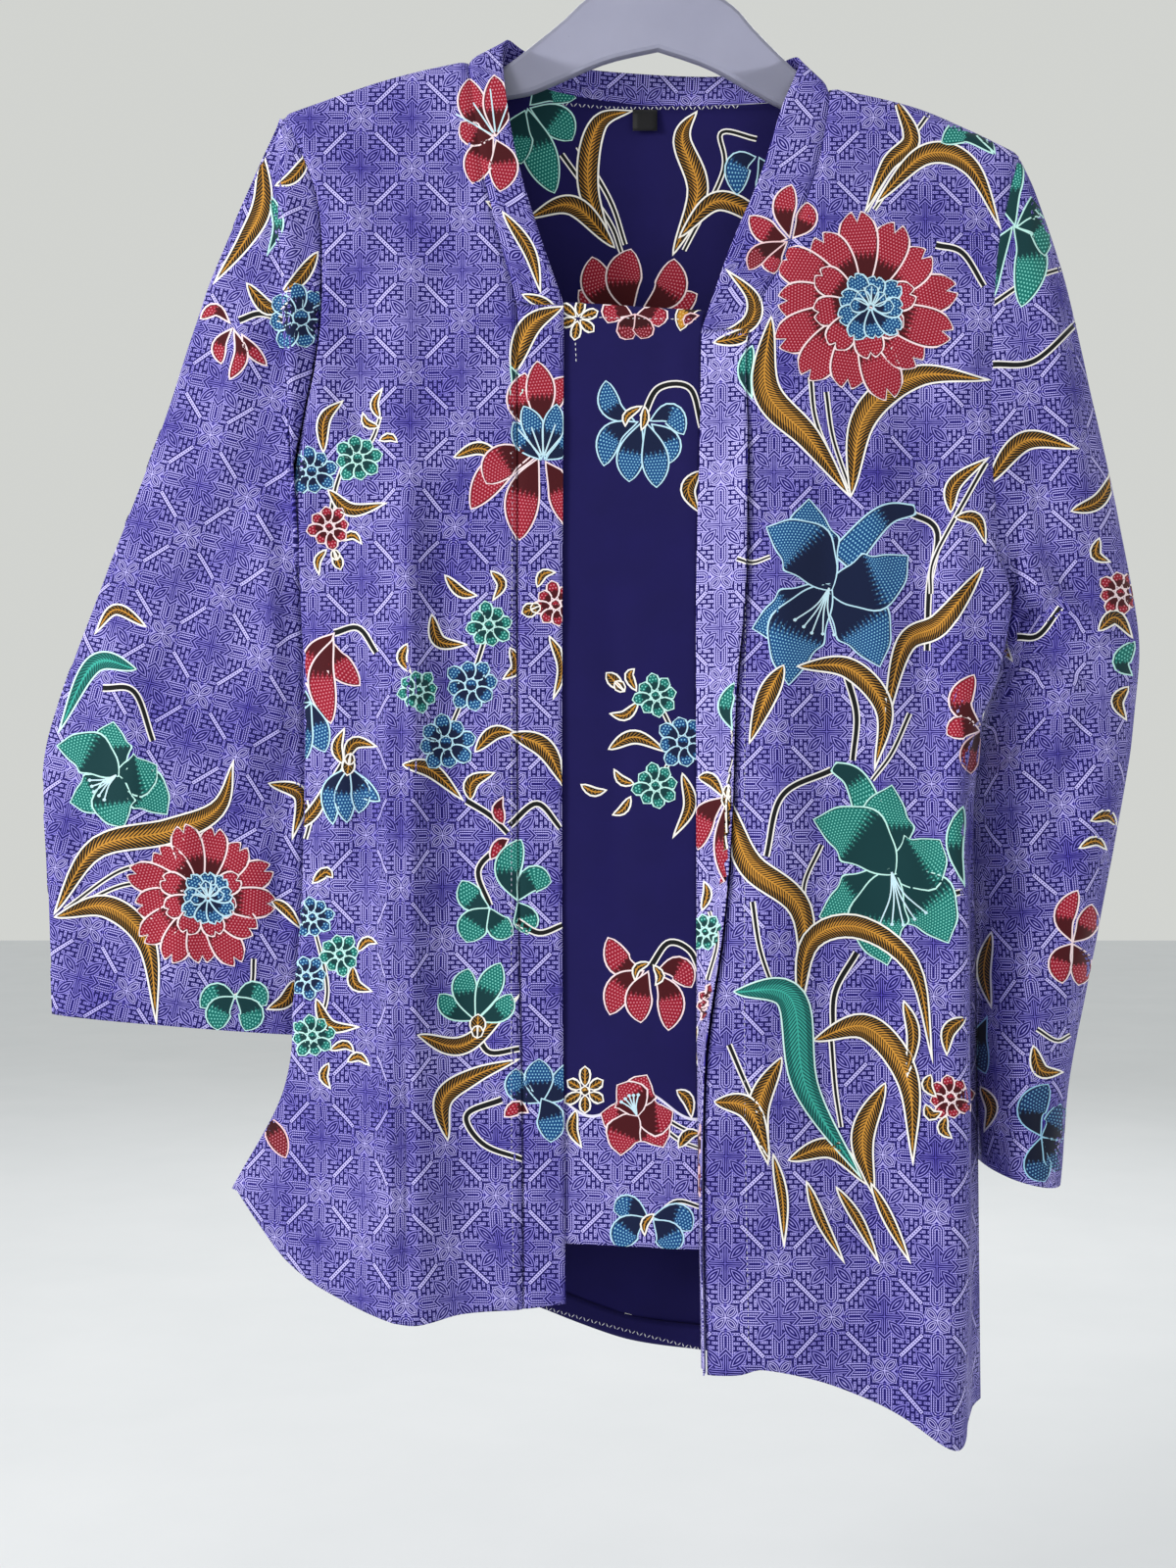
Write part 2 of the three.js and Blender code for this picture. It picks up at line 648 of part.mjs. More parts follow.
// A sleeve: round the ring from its outer fold over the front, and down from armhole to cuff.
// Its first ring is the armhole seam, and the ring's own oval takes over within a short way.
function sleeveSurface(table, front, across) {
  const blend = 0.04;
  const start = table[0];
  const armhole = (round) =>
    round <= 0.5
      ? front.surface(across, CHEST_SHARE * 2 * round)
      : back.surface(across, CHEST_SHARE * 2 * (1 - round));
  const oval = (round, height, down) => {
    const value = (key) => tableValue(table, "at", key, down);
    const inner = THREE.MathUtils.clamp((start.outZ - height) / (start.outZ - start.inZ), 0, 1);
    const bulge = Math.sin(Math.acos(1 - 2 * inner));
    const reach = round <= 0.5 ? -value("front") : value("back");
    return new THREE.Vector3(
      THREE.MathUtils.lerp(value("outX"), value("inX"), inner),
      THREE.MathUtils.lerp(value("outY"), value("inY"), inner) + bulge * reach,
      THREE.MathUtils.lerp(value("outZ"), value("inZ"), inner),
    );
  };
  return (share, down) => {
    const round = across > 0 ? 1 - share : share;
    const seam = armhole(round);
    const point = oval(round, seam.z, down);
    if (down >= blend) return point;
    const correction = seam.clone().sub(oval(round, seam.z, 0));
    return point.addScaledVector(correction, 1 - down / blend);
  };
}

// A plain strip inside the back's hem, moved in from the back's own points.
function turnUpSurface(across, down) {
  const share = THREE.MathUtils.lerp(TURN_UP.from, TURN_UP.to, across);
  const hemHeight = back.surface(share, 1).z;
  const z = hemHeight + TURN_UP.depth * (1 - down) + TURN_UP.lift;
  const point = back.at(share, z, back.topAt(share));
  const normal = surfaceNormal(back.surface, share, 1, BACK_SIDE);
  return point.addScaledVector(normal, -(WALL + SEAM));
}

// The label hangs inside the back from the neck band's lower edge.
function labelSurface(across, down) {
  const x = THREE.MathUtils.lerp(LABEL.left, LABEL.right, across);
  const z = THREE.MathUtils.lerp(LABEL.top, LABEL.bottom, down);
  const y = tableValue(BACK_LINES.middle, "z", "y", z) - WALL - LABEL.gap;
  return new THREE.Vector3(x, y, z);
}

// The hanger: a flat moulded body and a round hook in one piece.
function hangerGeometry() {
  const upper = [
    { x: 0, z: HUMP_TOP },
    { x: 24, z: -67.5 },
    { x: 41, z: -75 },
    { x: 56, z: -90 },
    { x: 81, z: -112 },
    { x: 98, z: -124 },
    { x: 112, z: -128 },
  ];
  const tip = [
    { x: ARM_TIP - 10, z: ARM_END },
    { x: ARM_TIP - 2, z: ARM_END - 5 },
    { x: ARM_TIP - 2, z: ARM_UNDERSIDE + 3 },
    { x: ARM_TIP - 12, z: ARM_UNDERSIDE },
  ];
  const lower = [
    { x: 112, z: -141.5 },
    { x: 86, z: -134 },
    { x: 70, z: -130 },
    { x: 54, z: -122.5 },
    { x: 28, z: -110 },
    { x: 0, z: -102 },
  ];
  const stretches = [upper, tip, lower];
  const outline = new THREE.Shape();
  const follow = (rows, mirror) => {
    const [start, ...rest] = rows.map(({ x, z }) => new THREE.Vector2(mirror * x, z));
    outline.lineTo(start.x, start.y);
    outline.splineThru(rest);
  };
  outline.moveTo(0, HUMP_TOP);
  for (const rows of stretches) follow(rows, 1);
  for (const rows of stretches.toReversed()) follow(rows.toReversed(), -1);
  const body = new THREE.ExtrudeGeometry(outline, {
    depth: HANGER_THICKNESS - 2 * HANGER_EDGE,
    bevelThickness: HANGER_EDGE,
    bevelSize: HANGER_EDGE,
    bevelOffset: -HANGER_EDGE,
    bevelSegments: 2,
    curveSegments: 3,
  });
  body.translate(0, 0, HANGER_EDGE - HANGER_THICKNESS / 2);
  body.rotateX(Math.PI / 2);

  const radius = HOOK_INNER + HOOK_ROD / 2;
  const centre = -HOOK_INNER;
  const route = [];
  const arcSteps = 9;
  for (let i = 0; i <= arcSteps; i += 1) {
    const angle = THREE.MathUtils.lerp(HOOK_MOUTH, HOOK_THROAT, i / arcSteps);
    route.push(new THREE.Vector3(radius * Math.cos(angle), 0, centre + radius * Math.sin(angle)));
  }
  for (const { x, z } of HOOK_STEM) route.push(new THREE.Vector3(x, 0, z));
  const rod = new THREE.Shape();
  rod.absarc(0, 0, HOOK_ROD / 2, 0, 2 * Math.PI);
  const hook = new THREE.ExtrudeGeometry(rod, {
    steps: 22,
    curveSegments: 7,
    extrudePath: new THREE.CatmullRomCurve3(route),
  });
  return joined(body, hook);
}

// A closed three.js geometry as a manifold solid.
function solidFrom(geometry) {
  const bare = geometry.clone();
  bare.deleteAttribute("normal");
  bare.deleteAttribute("uv");
  const merged = mergeVertices(bare, 1e-3);
  const mesh = new wasm.Mesh({
    numProp: 3,
    vertProperties: new Float32Array(merged.attributes.position.array),
    triVerts: new Uint32Array(merged.index.array),
  });
  return new wasm.Manifold(mesh);
}

function joined(first, second) {
  const mesh = solidFrom(first).add(solidFrom(second)).getMesh();
  const geometry = new THREE.BufferGeometry();
  geometry.setAttribute("position", new THREE.BufferAttribute(mesh.vertProperties, 3));
  geometry.setIndex(new THREE.BufferAttribute(mesh.triVerts, 1));
  geometry.computeVertexNormals();
  return geometry;
}

// Materials
const batik = new THREE.MeshStandardMaterial({ color: 0x7a6bb8, roughness: 0.85 });
const violet = new THREE.MeshStandardMaterial({ color: 0x2a1a66, roughness: 0.85 });
const black = new THREE.MeshStandardMaterial({ color: 0x111114, roughness: 0.8 });
const plastic = new THREE.MeshStandardMaterial({ color: 0xd9d6ef, roughness: 0.35 });

const group = new THREE.Group();

function add(name, geometry, material) {
  const mesh = new THREE.Mesh(geometry, material);
  mesh.name = name;
  group.add(mesh);
  return mesh;
}

const panelGrid = { columns: PANEL_COLUMNS, rows: PANEL_ROWS, sewn: ["left", "right", "top"] };
add("front_right", wall(rightFront.surface, panelGrid), batik);
add("front_left", wall(leftFront.surface, panelGrid), batik);
add("back", wall(back.surface, { ...panelGrid, side: BACK_SIDE }), batik);

const sleeveGrid = {
  columns: SLEEVE_COLUMNS,
  rows: SLEEVE_ROWS,
  side: BACK_SIDE,
  sewn: ["top"],
  round: true,
};
add("sleeve_right", wall(sleeveSurface(RIGHT_SLEEVE, rightFront, 0), sleeveGrid), batik);
add("sleeve_left", wall(sleeveSurface(LEFT_SLEEVE, leftFront, 1), sleeveGrid), batik);

const collarGrid = { columns: 44, rows: 3, sewn: ["left", "right", "top"] };
add("collar", wall(collarSurface(), collarGrid), batik);

const rightBand = strip(
  (z) => onChain(rightBandSeam, "z", z),
  guideEdge(RIGHT_BAND_EDGE),
  [RIGHT_JOINT, RIGHT_JOINT],
  [RIGHT_BAND_HEM.seam, RIGHT_BAND_HEM.free],
);
const rightBandGrid = { columns: 3, rows: 26, sewn: ["left", "top"], allowance: BEND_ALLOWANCE };
add("band_right", wall(rightBand, rightBandGrid), batik);

const leftBand = strip(
  guideEdge(LEFT_BAND_EDGE),
  (z) => onChain(leftBandSeam, "z", z),
  [LEFT_JOINT, LEFT_JOINT],
  [LEFT_BAND_HEM.free, LEFT_BAND_HEM.seam],
);
const leftBandGrid = { columns: 3, rows: 40, sewn: ["right", "top"], allowance: BEND_ALLOWANCE };
add("band_left", wall(leftBand, leftBandGrid), batik);

const centre = strip(
  guideEdge(RIGHT_BAND_EDGE, CENTRE_OVERLAP.right, WALL + CENTRE_SETBACK.right),
  guideEdge(LEFT_BAND_EDGE, CENTRE_OVERLAP.left, WALL + CENTRE_SETBACK.left),
  [CENTRE_TOP.right, CENTRE_TOP.left],
  [CENTRE_BOTTOM, CENTRE_BOTTOM],
);
add("centre_panel", wall(centre, { columns: 6, rows: 14 }), violet);
add("back_hem", wall(turnUpSurface, { columns: 30, rows: 2, side: BACK_SIDE }), violet);

const labelGrid = { columns: 2, rows: 2, side: BACK_SIDE, thickness: LABEL.thickness };
add("size_label", wall(labelSurface, labelGrid), black);

const hanger = add("hanger", hangerGeometry(), plastic);
hanger.rotation.y = -HANGER_TILT;

export default group;
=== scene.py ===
"""Kebaya blouse hanging on a moulded hanger: its cloth, print, sewing and hanger, in metres."""
import json
import math

import bmesh
import bpy
import numpy as np
from mathutils import Matrix, Vector
from mathutils.bvhtree import BVHTree


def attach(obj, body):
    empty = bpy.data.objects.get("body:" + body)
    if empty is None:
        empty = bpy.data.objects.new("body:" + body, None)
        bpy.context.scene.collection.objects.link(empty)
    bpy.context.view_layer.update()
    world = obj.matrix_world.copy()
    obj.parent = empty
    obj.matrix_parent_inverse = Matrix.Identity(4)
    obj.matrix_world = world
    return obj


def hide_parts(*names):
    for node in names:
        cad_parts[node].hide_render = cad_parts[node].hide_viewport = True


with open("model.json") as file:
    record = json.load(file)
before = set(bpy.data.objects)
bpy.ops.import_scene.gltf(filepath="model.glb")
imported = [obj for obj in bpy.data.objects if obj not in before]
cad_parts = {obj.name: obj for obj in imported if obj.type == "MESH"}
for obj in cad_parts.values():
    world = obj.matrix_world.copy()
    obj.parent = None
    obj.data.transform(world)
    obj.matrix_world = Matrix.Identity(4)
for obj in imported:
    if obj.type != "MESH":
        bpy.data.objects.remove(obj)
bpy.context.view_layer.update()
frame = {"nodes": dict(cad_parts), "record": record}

MM = 0.001
BODY = "root"
CLOTH = 0.7  # thickness of the cloth, mm
CELL = 3.4  # side of a cell of the cloth meshes, mm

# Photograph: its frame, and the view in which it was taken
PHOTO_WIDTH = 1200
PHOTO_HEIGHT = 1600
MM_PER_PX = 0.55
EYE_DISTANCE = 1100
VIEW_MIDDLE = (-44.6, -513)
SENSOR = 36

# Form of the garment, as in the solids: sizes and heights in mm, and shares of a panel's length
ROLL = 8
NECK_SPREAD = 14
RIGHT_CHEST = -390
LEFT_CHEST = -408
ROLL_SHARE = 3 / 27
CHEST_SHARE = 15 / 27
ARMHOLE_BLEND = 0.04
TOP_START = -130
HEM_START = -800
EDGE_STEPS = 8
RIGHT_NECK_X = -112
LEFT_NECK_X = 91
RIGHT_JOINT = -247
LEFT_JOINT = -262
CENTRE_BOTTOM = -768
CENTRE_TOP = (-245, -251)
RIGHT_BAND_BOTTOM = (-804, -801)
LEFT_BAND_BOTTOM = (-831, -829)

# Upper and lower edges: x, z
RIGHT_SHOULDER = [(-216, -138.5), (-171, -122.5), (-144, -114.5), (-112, -107.5)]
LEFT_SHOULDER = [(91, -122.5), (137, -133.5), (168, -146), (196, -159.5)]
BACK_NECK = [
    (-112, -107.5), (-88, -112.5), (-58, -119), (-14, -124), (37, -126), (70, -125.5), (91, -122.5),
]
RIGHT_HEM = [
    (-246, -745), (-234, -760), (-216, -781), (-190, -797), (-146, -810), (-115, -807), (-81, -804),
    (-57, -801),
]
LEFT_HEM = [
    (14, -829), (36, -828), (48, -825), (77, -831), (103, -841), (125, -851), (152, -867), (169, -860),
]
BACK_HEM = [
    (-240, -752), (-205, -771), (-133, -797), (-74, -816), (-22, -834), (24, -841), (100, -852),
    (169, -860),
]

# Guide lines down the garment: z, x, y
RIGHT_SIDE_SEAM = [
    (-390, -206, -5), (-410, -200, 0), (-450, -195, 6), (-540, -195, 8), (-623, -200, 11),
    (-685, -210, 17), (-750, -240, 27),
]
LEFT_SIDE_SEAM = [
    (-408, 188, -4), (-430, 183, -2), (-458, 174, 0), (-520, 165, 3), (-596, 166, 6), (-860, 169, 8),
]
RIGHT_FRONT_LINES = [
    [
        (-138, -216, -7), (-158, -206, -9), (-186, -196, -11), (-222, -193, -12), (-268, -195, -12),
        (-312, -203, -12), (-349, -208, -10), *RIGHT_SIDE_SEAM,
    ],
    [
        (-138, -209, -8), (-186, -190, -12), (-222, -187, -14), (-312, -197, -14), (-390, -203, -9),
        (-412, -204, -5), (-450, -203.5, -3), (-540, -203, -2), (-623, -208, 1), (-685, -215, 9),
        (-745, -246, 22),
    ],
    [
        (-130, -184, -8), (-222, -168, -13), (-350, -176, -11), (-540, -174, -9), (-700, -176, -7),
        (-790, -192, -4),
    ],
    [(-125, -156, -8), (-222, -148, -14), (-312, -146, -18), (-540, -145, -23), (-810, -145, -26)],
    [(-115, -134, -8), (-222, -120, -14), (-312, -116, -15), (-540, -116, -14), (-810, -115, -13)],
    [
        (-107, -112, -8), (-128, -109, -10), (-168, -104, -12), (-206, -95, -14), (-247, -85, -15),
        (-290, -84.5, -15), (-540, -84, -15), (-697, -81.5, -15), (-810, -81, -15),
    ],
]
LEFT_FRONT_LINES = [
    [
        (-122, 91, -8), (-145, 88, -10), (-176, 81, -14), (-222, 64, -18), (-262, 44, -22),
        (-325, 43, -25), (-406, 42, -28), (-460, 37, -31), (-540, 34, -36), (-595, 29, -41),
        (-661, 20, -46), (-744, 18, -50), (-830, 19, -54),
    ],
    [
        (-130, 118, -9), (-222, 96, -17), (-325, 84, -25), (-460, 76, -34), (-595, 66, -44),
        (-744, 58, -52), (-840, 58, -58),
    ],
    [
        (-142, 152, -9), (-222, 136, -14), (-325, 126, -19), (-460, 120, -27), (-595, 112, -38),
        (-744, 108, -47), (-850, 108, -53),
    ],
    [
        (-158, 188, -8), (-214, 174, -14), (-259, 170, -18), (-314, 168, -21), (-373, 171, -24),
        (-407, 183, -25), (-433, 181, -27), (-460, 175, -30), (-487, 162, -34), (-519, 154, -38),
        (-592, 157, -44), (-764, 156, -55), (-867, 152, -60),
    ],
    [
        (-160, 196, -7), (-185, 188, -9), (-214, 181, -14), (-259, 177, -18), (-314, 175, -20),
        (-373, 178, -18), (-395, 183, -11), *LEFT_SIDE_SEAM,
    ],
]
BACK_LINES = [
    [
        (-138, -216, 7), (-158, -207, 9), (-186, -199, 11), (-222, -196, 12), (-268, -197, 12),
        (-312, -203, 10), (-349, -208, 4), *RIGHT_SIDE_SEAM,
    ],
    [
        (-107, -112, 9), (-150, -122, 17), (-250, -124, 23), (-420, -124, 26), (-620, -124, 31),
        (-760, -134, 37),
    ],
    [(-124, -14, 25), (-250, -14, 28), (-500, -14, 31), (-840, -14, 35)],
    [
        (-122, 91, 9), (-160, 102, 16), (-250, 102, 22), (-450, 100, 25), (-700, 100, 30),
        (-850, 100, 33),
    ],
    [
        (-160, 196, 7), (-185, 190, 9), (-214, 184, 11), (-259, 180, 12), (-314, 179, 12),
        (-373, 182, 7), (-395, 186, 1), *LEFT_SIDE_SEAM,
    ],
]
RIGHT_BAND_EDGE = [(-247, -58, -14), (-540, -59, -14), (-810, -57, -14)]
LEFT_BAND_EDGE = [
    (-262, 18, -17), (-325, 17, -18), (-406, 15, -19), (-540, 15, -22), (-596, 15, -24),
    (-663, 15, -26), (-749, 16, -29), (-831, 17, -33),
]

# Neck band: height (fronts) or place (back) of its seam, then x, y, z of its free edge
COLLAR_RIGHT = [
    (RIGHT_JOINT, -58, -14, -247), (-206, -72, -13, -206), (-168, -84, -11, -165),
    (-130, -91, -9.5, -123), (-107.5, -91, 0, -96),
]
COLLAR_BACK = [
    (-92, -79, 12, -98), (-64, -54, 20, -103.5), (-14, -13, 24.5, -106), (38, 30, 20, -109),
    (70, 56, 12, -107.5),
]
COLLAR_LEFT = [
    (-122.5, 74, 0, -106), (-147, 63, -10, -137), (-180, 51, -12, -175), (-222, 34, -15, -216),
    (LEFT_JOINT, 18, -17, -262),
]

# Sleeve rings: share of the way down, outer fold x, y, z, inner fold x, y, z, bulge to front and back
RIGHT_SLEEVE = [
    (0, -216, 0, -138.5, -206, -5, -390, 11, 10),
    (0.04, -217, 0, -140, -206.5, -4, -391, 12, 10),
    (0.06, -219, 1, -145, -207, -2, -394, 5, 10),
    (0.13, -230, 1, -169, -207, 1, -403, 7, 11),
    (0.25, -257, 2, -232, -204, 6, -425, 10, 12),
    (0.38, -285, 4, -314, -201, 11, -469, 11, 12),
    (0.52, -316, 6, -394, -200, 13, -515, 12, 12),
    (0.66, -343, 8, -466, -200, 14, -560, 13, 12),
    (0.75, -352, 8, -505, -202, 14, -592, 12, 12),
    (0.86, -350, 8, -560, -205, 16, -625, 11, 12),
    (1, -347, 8, -643, -211, 19, -656, 10, 12),
]
LEFT_SLEEVE = [
    (0, 196, 0, -159.5, 188, -4, -408, 18, 12),
    (0.06, 206, 1, -181, 191.5, 0, -416, 20, 16),
    (0.16, 222, 4, -225, 189, 4, -433, 23, 20),
    (0.28, 239, 9, -291, 183, 10, -462, 27, 26),
    (0.4, 256, 14, -362, 176, 15, -492, 31, 31),
    (0.52, 268, 18, -424, 172, 18, -523, 35, 34),
    (0.62, 267, 20, -470, 170, 20, -554, 36, 37),
    (0.73, 258, 22, -531, 171, 20, -593, 40, 40),
    (0.83, 243, 25, -610, 173, 17, -637, 46, 46),
    (0.92, 230, 28, -680, 174, 14, -681, 51, 51),
    (1, 224, 30, -738, 177, 11, -726, 55, 55),
]


def linear(code):
    """Linear colour of a six-digit sRGB code, with alpha."""
    parts = [int(code[i:i + 2], 16) / 255 for i in (0, 2, 4)]
    return tuple(((c + 0.055) / 1.055) ** 2.4 if c > 0.04 else c / 12.92 for c in parts) + (1,)


def lerp(start, end, share):
    return start + (end - start) * share


def ease(share):
    """Smooth step from 0 to 1."""
    share = np.clip(share, 0, 1)
    return share * share * (3 - 2 * share)


def hermite(start, end, start_slope, end_slope, t):
    rise = end - start
    bend = start_slope + end_slope - 2 * rise
    return start + t * (start_slope + t * (3 * rise - 2 * start_slope - end_slope + t * bend))


def smooth(rows, column, places):
    """Smooth value of a column of a table at places in its first column."""
    rows = np.array(sorted(rows), float)
    keys = rows[:, 0]
    values = rows[:, column]
    last = len(keys) - 1
    order = np.arange(last + 1)
    before = np.maximum(order - 1, 0)
    after = np.minimum(order + 1, last)
    slopes = (values[after] - values[before]) / (keys[after] - keys[before])
    places = np.clip(places, keys[0], keys[-1])
    i = np.clip(np.searchsorted(keys, places, side="right") - 1, 0, last - 1)
    span = keys[i + 1] - keys[i]
    t = (places - keys[i]) / span
    return hermite(values[i], values[i + 1], slopes[i] * span, slopes[i + 1] * span, t)


def between(values, across):
    """Smooth value at a share across evenly spaced rows of values."""
    last = len(values) - 1
    place = across * last
    i = np.clip(place.astype(int), 0, last - 1)

    def at(k):
        return np.take_along_axis(values, k[None], 0)[0]

    def slope(k):
        before = np.maximum(k - 1, 0)
        after = np.minimum(k + 1, last)
        return (at(after) - at(before)) / (after - before)

    return hermite(at(i), at(i + 1), slope(i), slope(i + 1), place - i)


class Panel:
    """A cloth panel between guide lines, an upper edge and a hem, as in the solids."""

    def __init__(self, lines, top, hem, chest, roll_weight):
        self.lines = lines
        self.top = top
        self.hem = hem
        self.chest = chest
        self.roll_weight = roll_weight

    def flat_point(self, across, z):
        x = between(np.stack([smooth(line, 1, z) for line in self.lines]), across)
        y = between(np.stack([smooth(line, 2, z) for line in self.lines]), across)
        return x, y

    def edge_height(self, edge, across, start):
        z = np.full_like(across, start)
        for _ in range(EDGE_STEPS):
            z = edge(self.flat_point(across, z)[0])
        return z

    def at(self, across, z, top_height):
        x, y = self.flat_point(across, z)
        below = np.clip((top_height - z) / ROLL, 0, 1)
        rounding = np.sqrt(1 - (1 - below) ** 2)
        y = y * (1 - self.roll_weight(x) * (1 - rounding))
        return np.stack([x, y, z], -1)

    def surface(self, across, down):
        top = self.edge_height(self.top, across, TOP_START)
        hem = self.edge_height(self.hem, across, HEM_START)
        chest = lerp(self.chest[0], self.chest[1], across)
        turn = np.clip(down / ROLL_SHARE, 0, 1) * math.pi / 2
        over_arm = top - ROLL * (1 - np.cos(turn))
        part = np.clip((down - ROLL_SHARE) / (CHEST_SHARE - ROLL_SHARE), 0, 1)
        upper = lerp(top - ROLL, chest, (1 - np.cos(part * math.pi)) / 2)
        lower = lerp(chest, hem, np.clip((down - CHEST_SHARE) / (1 - CHEST_SHARE), 0, 1))
        z = np.where(down < ROLL_SHARE, over_arm, np.where(down < CHEST_SHARE, upper, lower))
        return self.at(across, z, top)


def back_top(x):
    inner = smooth(BACK_NECK, 1, x)
    right = smooth(RIGHT_SHOULDER, 1, x)
    left = smooth(LEFT_SHOULDER, 1, x)
    return np.where(x <= RIGHT_NECK_X, right, np.where(x >= LEFT_NECK_X, left, inner))


def back_roll(x):
    right = ease((-x + RIGHT_NECK_X + NECK_SPREAD) / NECK_SPREAD)
    left = ease((x - LEFT_NECK_X + NECK_SPREAD) / NECK_SPREAD)
    return np.maximum(right, left)


RIGHT_FRONT = Panel(
    RIGHT_FRONT_LINES,
    lambda x: smooth(RIGHT_SHOULDER, 1, x),
    lambda x: smooth(RIGHT_HEM, 1, x),
    (RIGHT_CHEST, RIGHT_CHEST),
    np.ones_like,
)
LEFT_FRONT = Panel(
    LEFT_FRONT_LINES,
    lambda x: smooth(LEFT_SHOULDER, 1, x),
    lambda x: smooth(LEFT_HEM, 1, x),
    (LEFT_CHEST, LEFT_CHEST),
    np.ones_like,
)
BACK = Panel(
    BACK_LINES,
    back_top,
    lambda x: smooth(BACK_HEM, 1, x),
    (RIGHT_CHEST, LEFT_CHEST),
    back_roll,
)


def chain(panel, across, down):
    """A fine run of points along one edge of a panel."""
    return panel.surface(np.asarray(across, float), np.asarray(down, float))


FINE_STEPS = 500
FINE = np.linspace(0, 1, FINE_STEPS)
RIGHT_BAND_SEAM = chain(RIGHT_FRONT, np.ones(FINE_STEPS), FINE)
LEFT_BAND_SEAM = chain(LEFT_FRONT, np.zeros(FINE_STEPS), FINE)
BACK_TOP_EDGE = chain(BACK, FINE, np.zeros(FINE_STEPS))


def on_chain(points, key, value):
    """The place on a run of points where coordinate number key has a value."""
    order = np.argsort(points[:, key])
    run = points[order]
    return np.stack([np.interp(value, run[:, key], run[:, i]) for i in range(3)], -1)


def guide_edge(line, dx=0.0, dy=0.0):
    return lambda z: np.stack([smooth(line, 1, z) + dx, smooth(line, 2, z) + dy, z], -1)


def strip(left_edge, right_edge, top, bottom):
    """A straight strip between two edges; top and bottom are heights at its left and right."""

    def surface(across, down):
        z = lerp(lerp(top[0], top[1], across), lerp(bottom[0], bottom[1], across), down)
        return lerp(left_edge(z), right_edge(z), across[..., None])

    return surface


def collar_surface(along, across):
    rows = np.array(COLLAR_RIGHT + COLLAR_BACK + COLLAR_LEFT, float)
    last_right = len(COLLAR_RIGHT) - 1
    first_left = last_right + len(COLLAR_BACK) + 1
    place = along * (len(rows) - 1)
    i = np.clip(place.astype(int), 0, len(rows) - 2)
    part = place - i
    height = lerp(rows[i, 0], rows[i + 1, 0], part)
    start = np.where(i == last_right, RIGHT_NECK_X, rows[i, 0])
    end = np.where(i + 1 == first_left, LEFT_NECK_X, rows[i + 1, 0])
    right = on_chain(RIGHT_BAND_SEAM, 2, height)
    left = on_chain(LEFT_BAND_SEAM, 2, height)
    back = on_chain(BACK_TOP_EDGE, 0, lerp(start, end, part))
    seam = np.where((i < last_right)[..., None], right, np.where((i >= first_left)[..., None], left, back))
    size = along.shape
    free = np.stack([between(np.repeat(rows[:, k, None], along.size, 1), along.ravel()).reshape(size)
                     for k in (1, 2, 3)], -1)
    return lerp(seam, free, across[..., None])


def sleeve_surface(table, front, across):
    """Round from the outer fold over the front and back over the back, from armhole to cuff."""
    start = table[0]

    def armhole(share):
        side = np.full_like(share, across)
        over_front = front.surface(side, CHEST_SHARE * np.clip(2 * share, 0, 1))
        over_back = BACK.surface(side, CHEST_SHARE * np.clip(2 * (1 - share), 0, 1))
        return np.where((share <= 0.5)[..., None], over_front, over_back)

    def oval(share, height, down):
        out_x, out_y, out_z, in_x, in_y, in_z, front_bulge, back_bulge = (
            smooth(table, k, down) for k in range(1, 9)
        )
        inner = np.clip((start[3] - height) / (start[3] - start[6]), 0, 1)
        bulge = np.sqrt(1 - (1 - 2 * inner) ** 2)
        reach = np.where(share <= 0.5, -front_bulge, back_bulge)
        return np.stack(
            [lerp(out_x, in_x, inner), lerp(out_y, in_y, inner) + bulge * reach, lerp(out_z, in_z, inner)],
            -1,
        )

    def surface(share, down):
        seam = armhole(share)
        point = oval(share, seam[..., 2], down)
        correction = seam - oval(share, seam[..., 2], np.zeros_like(down))
        return point + correction * np.clip(1 - down / ARMHOLE_BLEND, 0, 1)[..., None]

    return surface


def spot(px, py):
    """A place of the photograph, as x and z in mm in the plane of the hanger."""
    x = VIEW_MIDDLE[0] + (px - PHOTO_WIDTH / 2) * MM_PER_PX
    z = VIEW_MIDDLE[1] + (PHOTO_HEIGHT / 2 - py) * MM_PER_PX
    return np.array([x, z])


def polyline_distance(points, route):
    """Distance of each point from a route, and the share of the route's length at its nearest place."""
    lengths = [np.linalg.norm(b - a) for a, b in zip(route, route[1:])]
    total = sum(lengths)
    best = np.full(points.shape[:-1], 1e9)
    share = np.zeros(points.shape[:-1])
    done = 0
    for a, b, length in zip(route, route[1:], lengths):
        t = np.clip(((points - a) @ (b - a)) / length ** 2, 0, 1)
        distance = np.linalg.norm(points - (a + t[..., None] * (b - a)), axis=-1)
        nearer = distance < best
        best = np.where(nearer, distance, best)
        share = np.where(nearer, (done + t * length) / total, share)
        done += length
    return best, share


CREASE_HEIGHT = 2.1  # every crease's height is given for the flattest cloth and raised by this
LAP_WIDTH = 5.0  # how far in from a lapped edge the cloth rises, mm


def crease_lift(points, creases):
    """Height of the creases at points: each has places in the photograph, a width and a height in mm."""
    lift = np.zeros(points.shape[:-1])
    seen = points[..., [0, 2]]
    depth = 1 + points[..., 1:2] / EYE_DISTANCE
    seen = np.array(VIEW_MIDDLE) + (seen - np.array(VIEW_MIDDLE)) / depth
    for places, width, height in creases:
        distance, share = polyline_distance(seen, [spot(*place) for place in places])
        ends = ease(share / 0.2) * ease((1 - share) / 0.2)
        lift += CREASE_HEIGHT * height * ends * np.exp(-((distance / width) ** 2))
    return lift


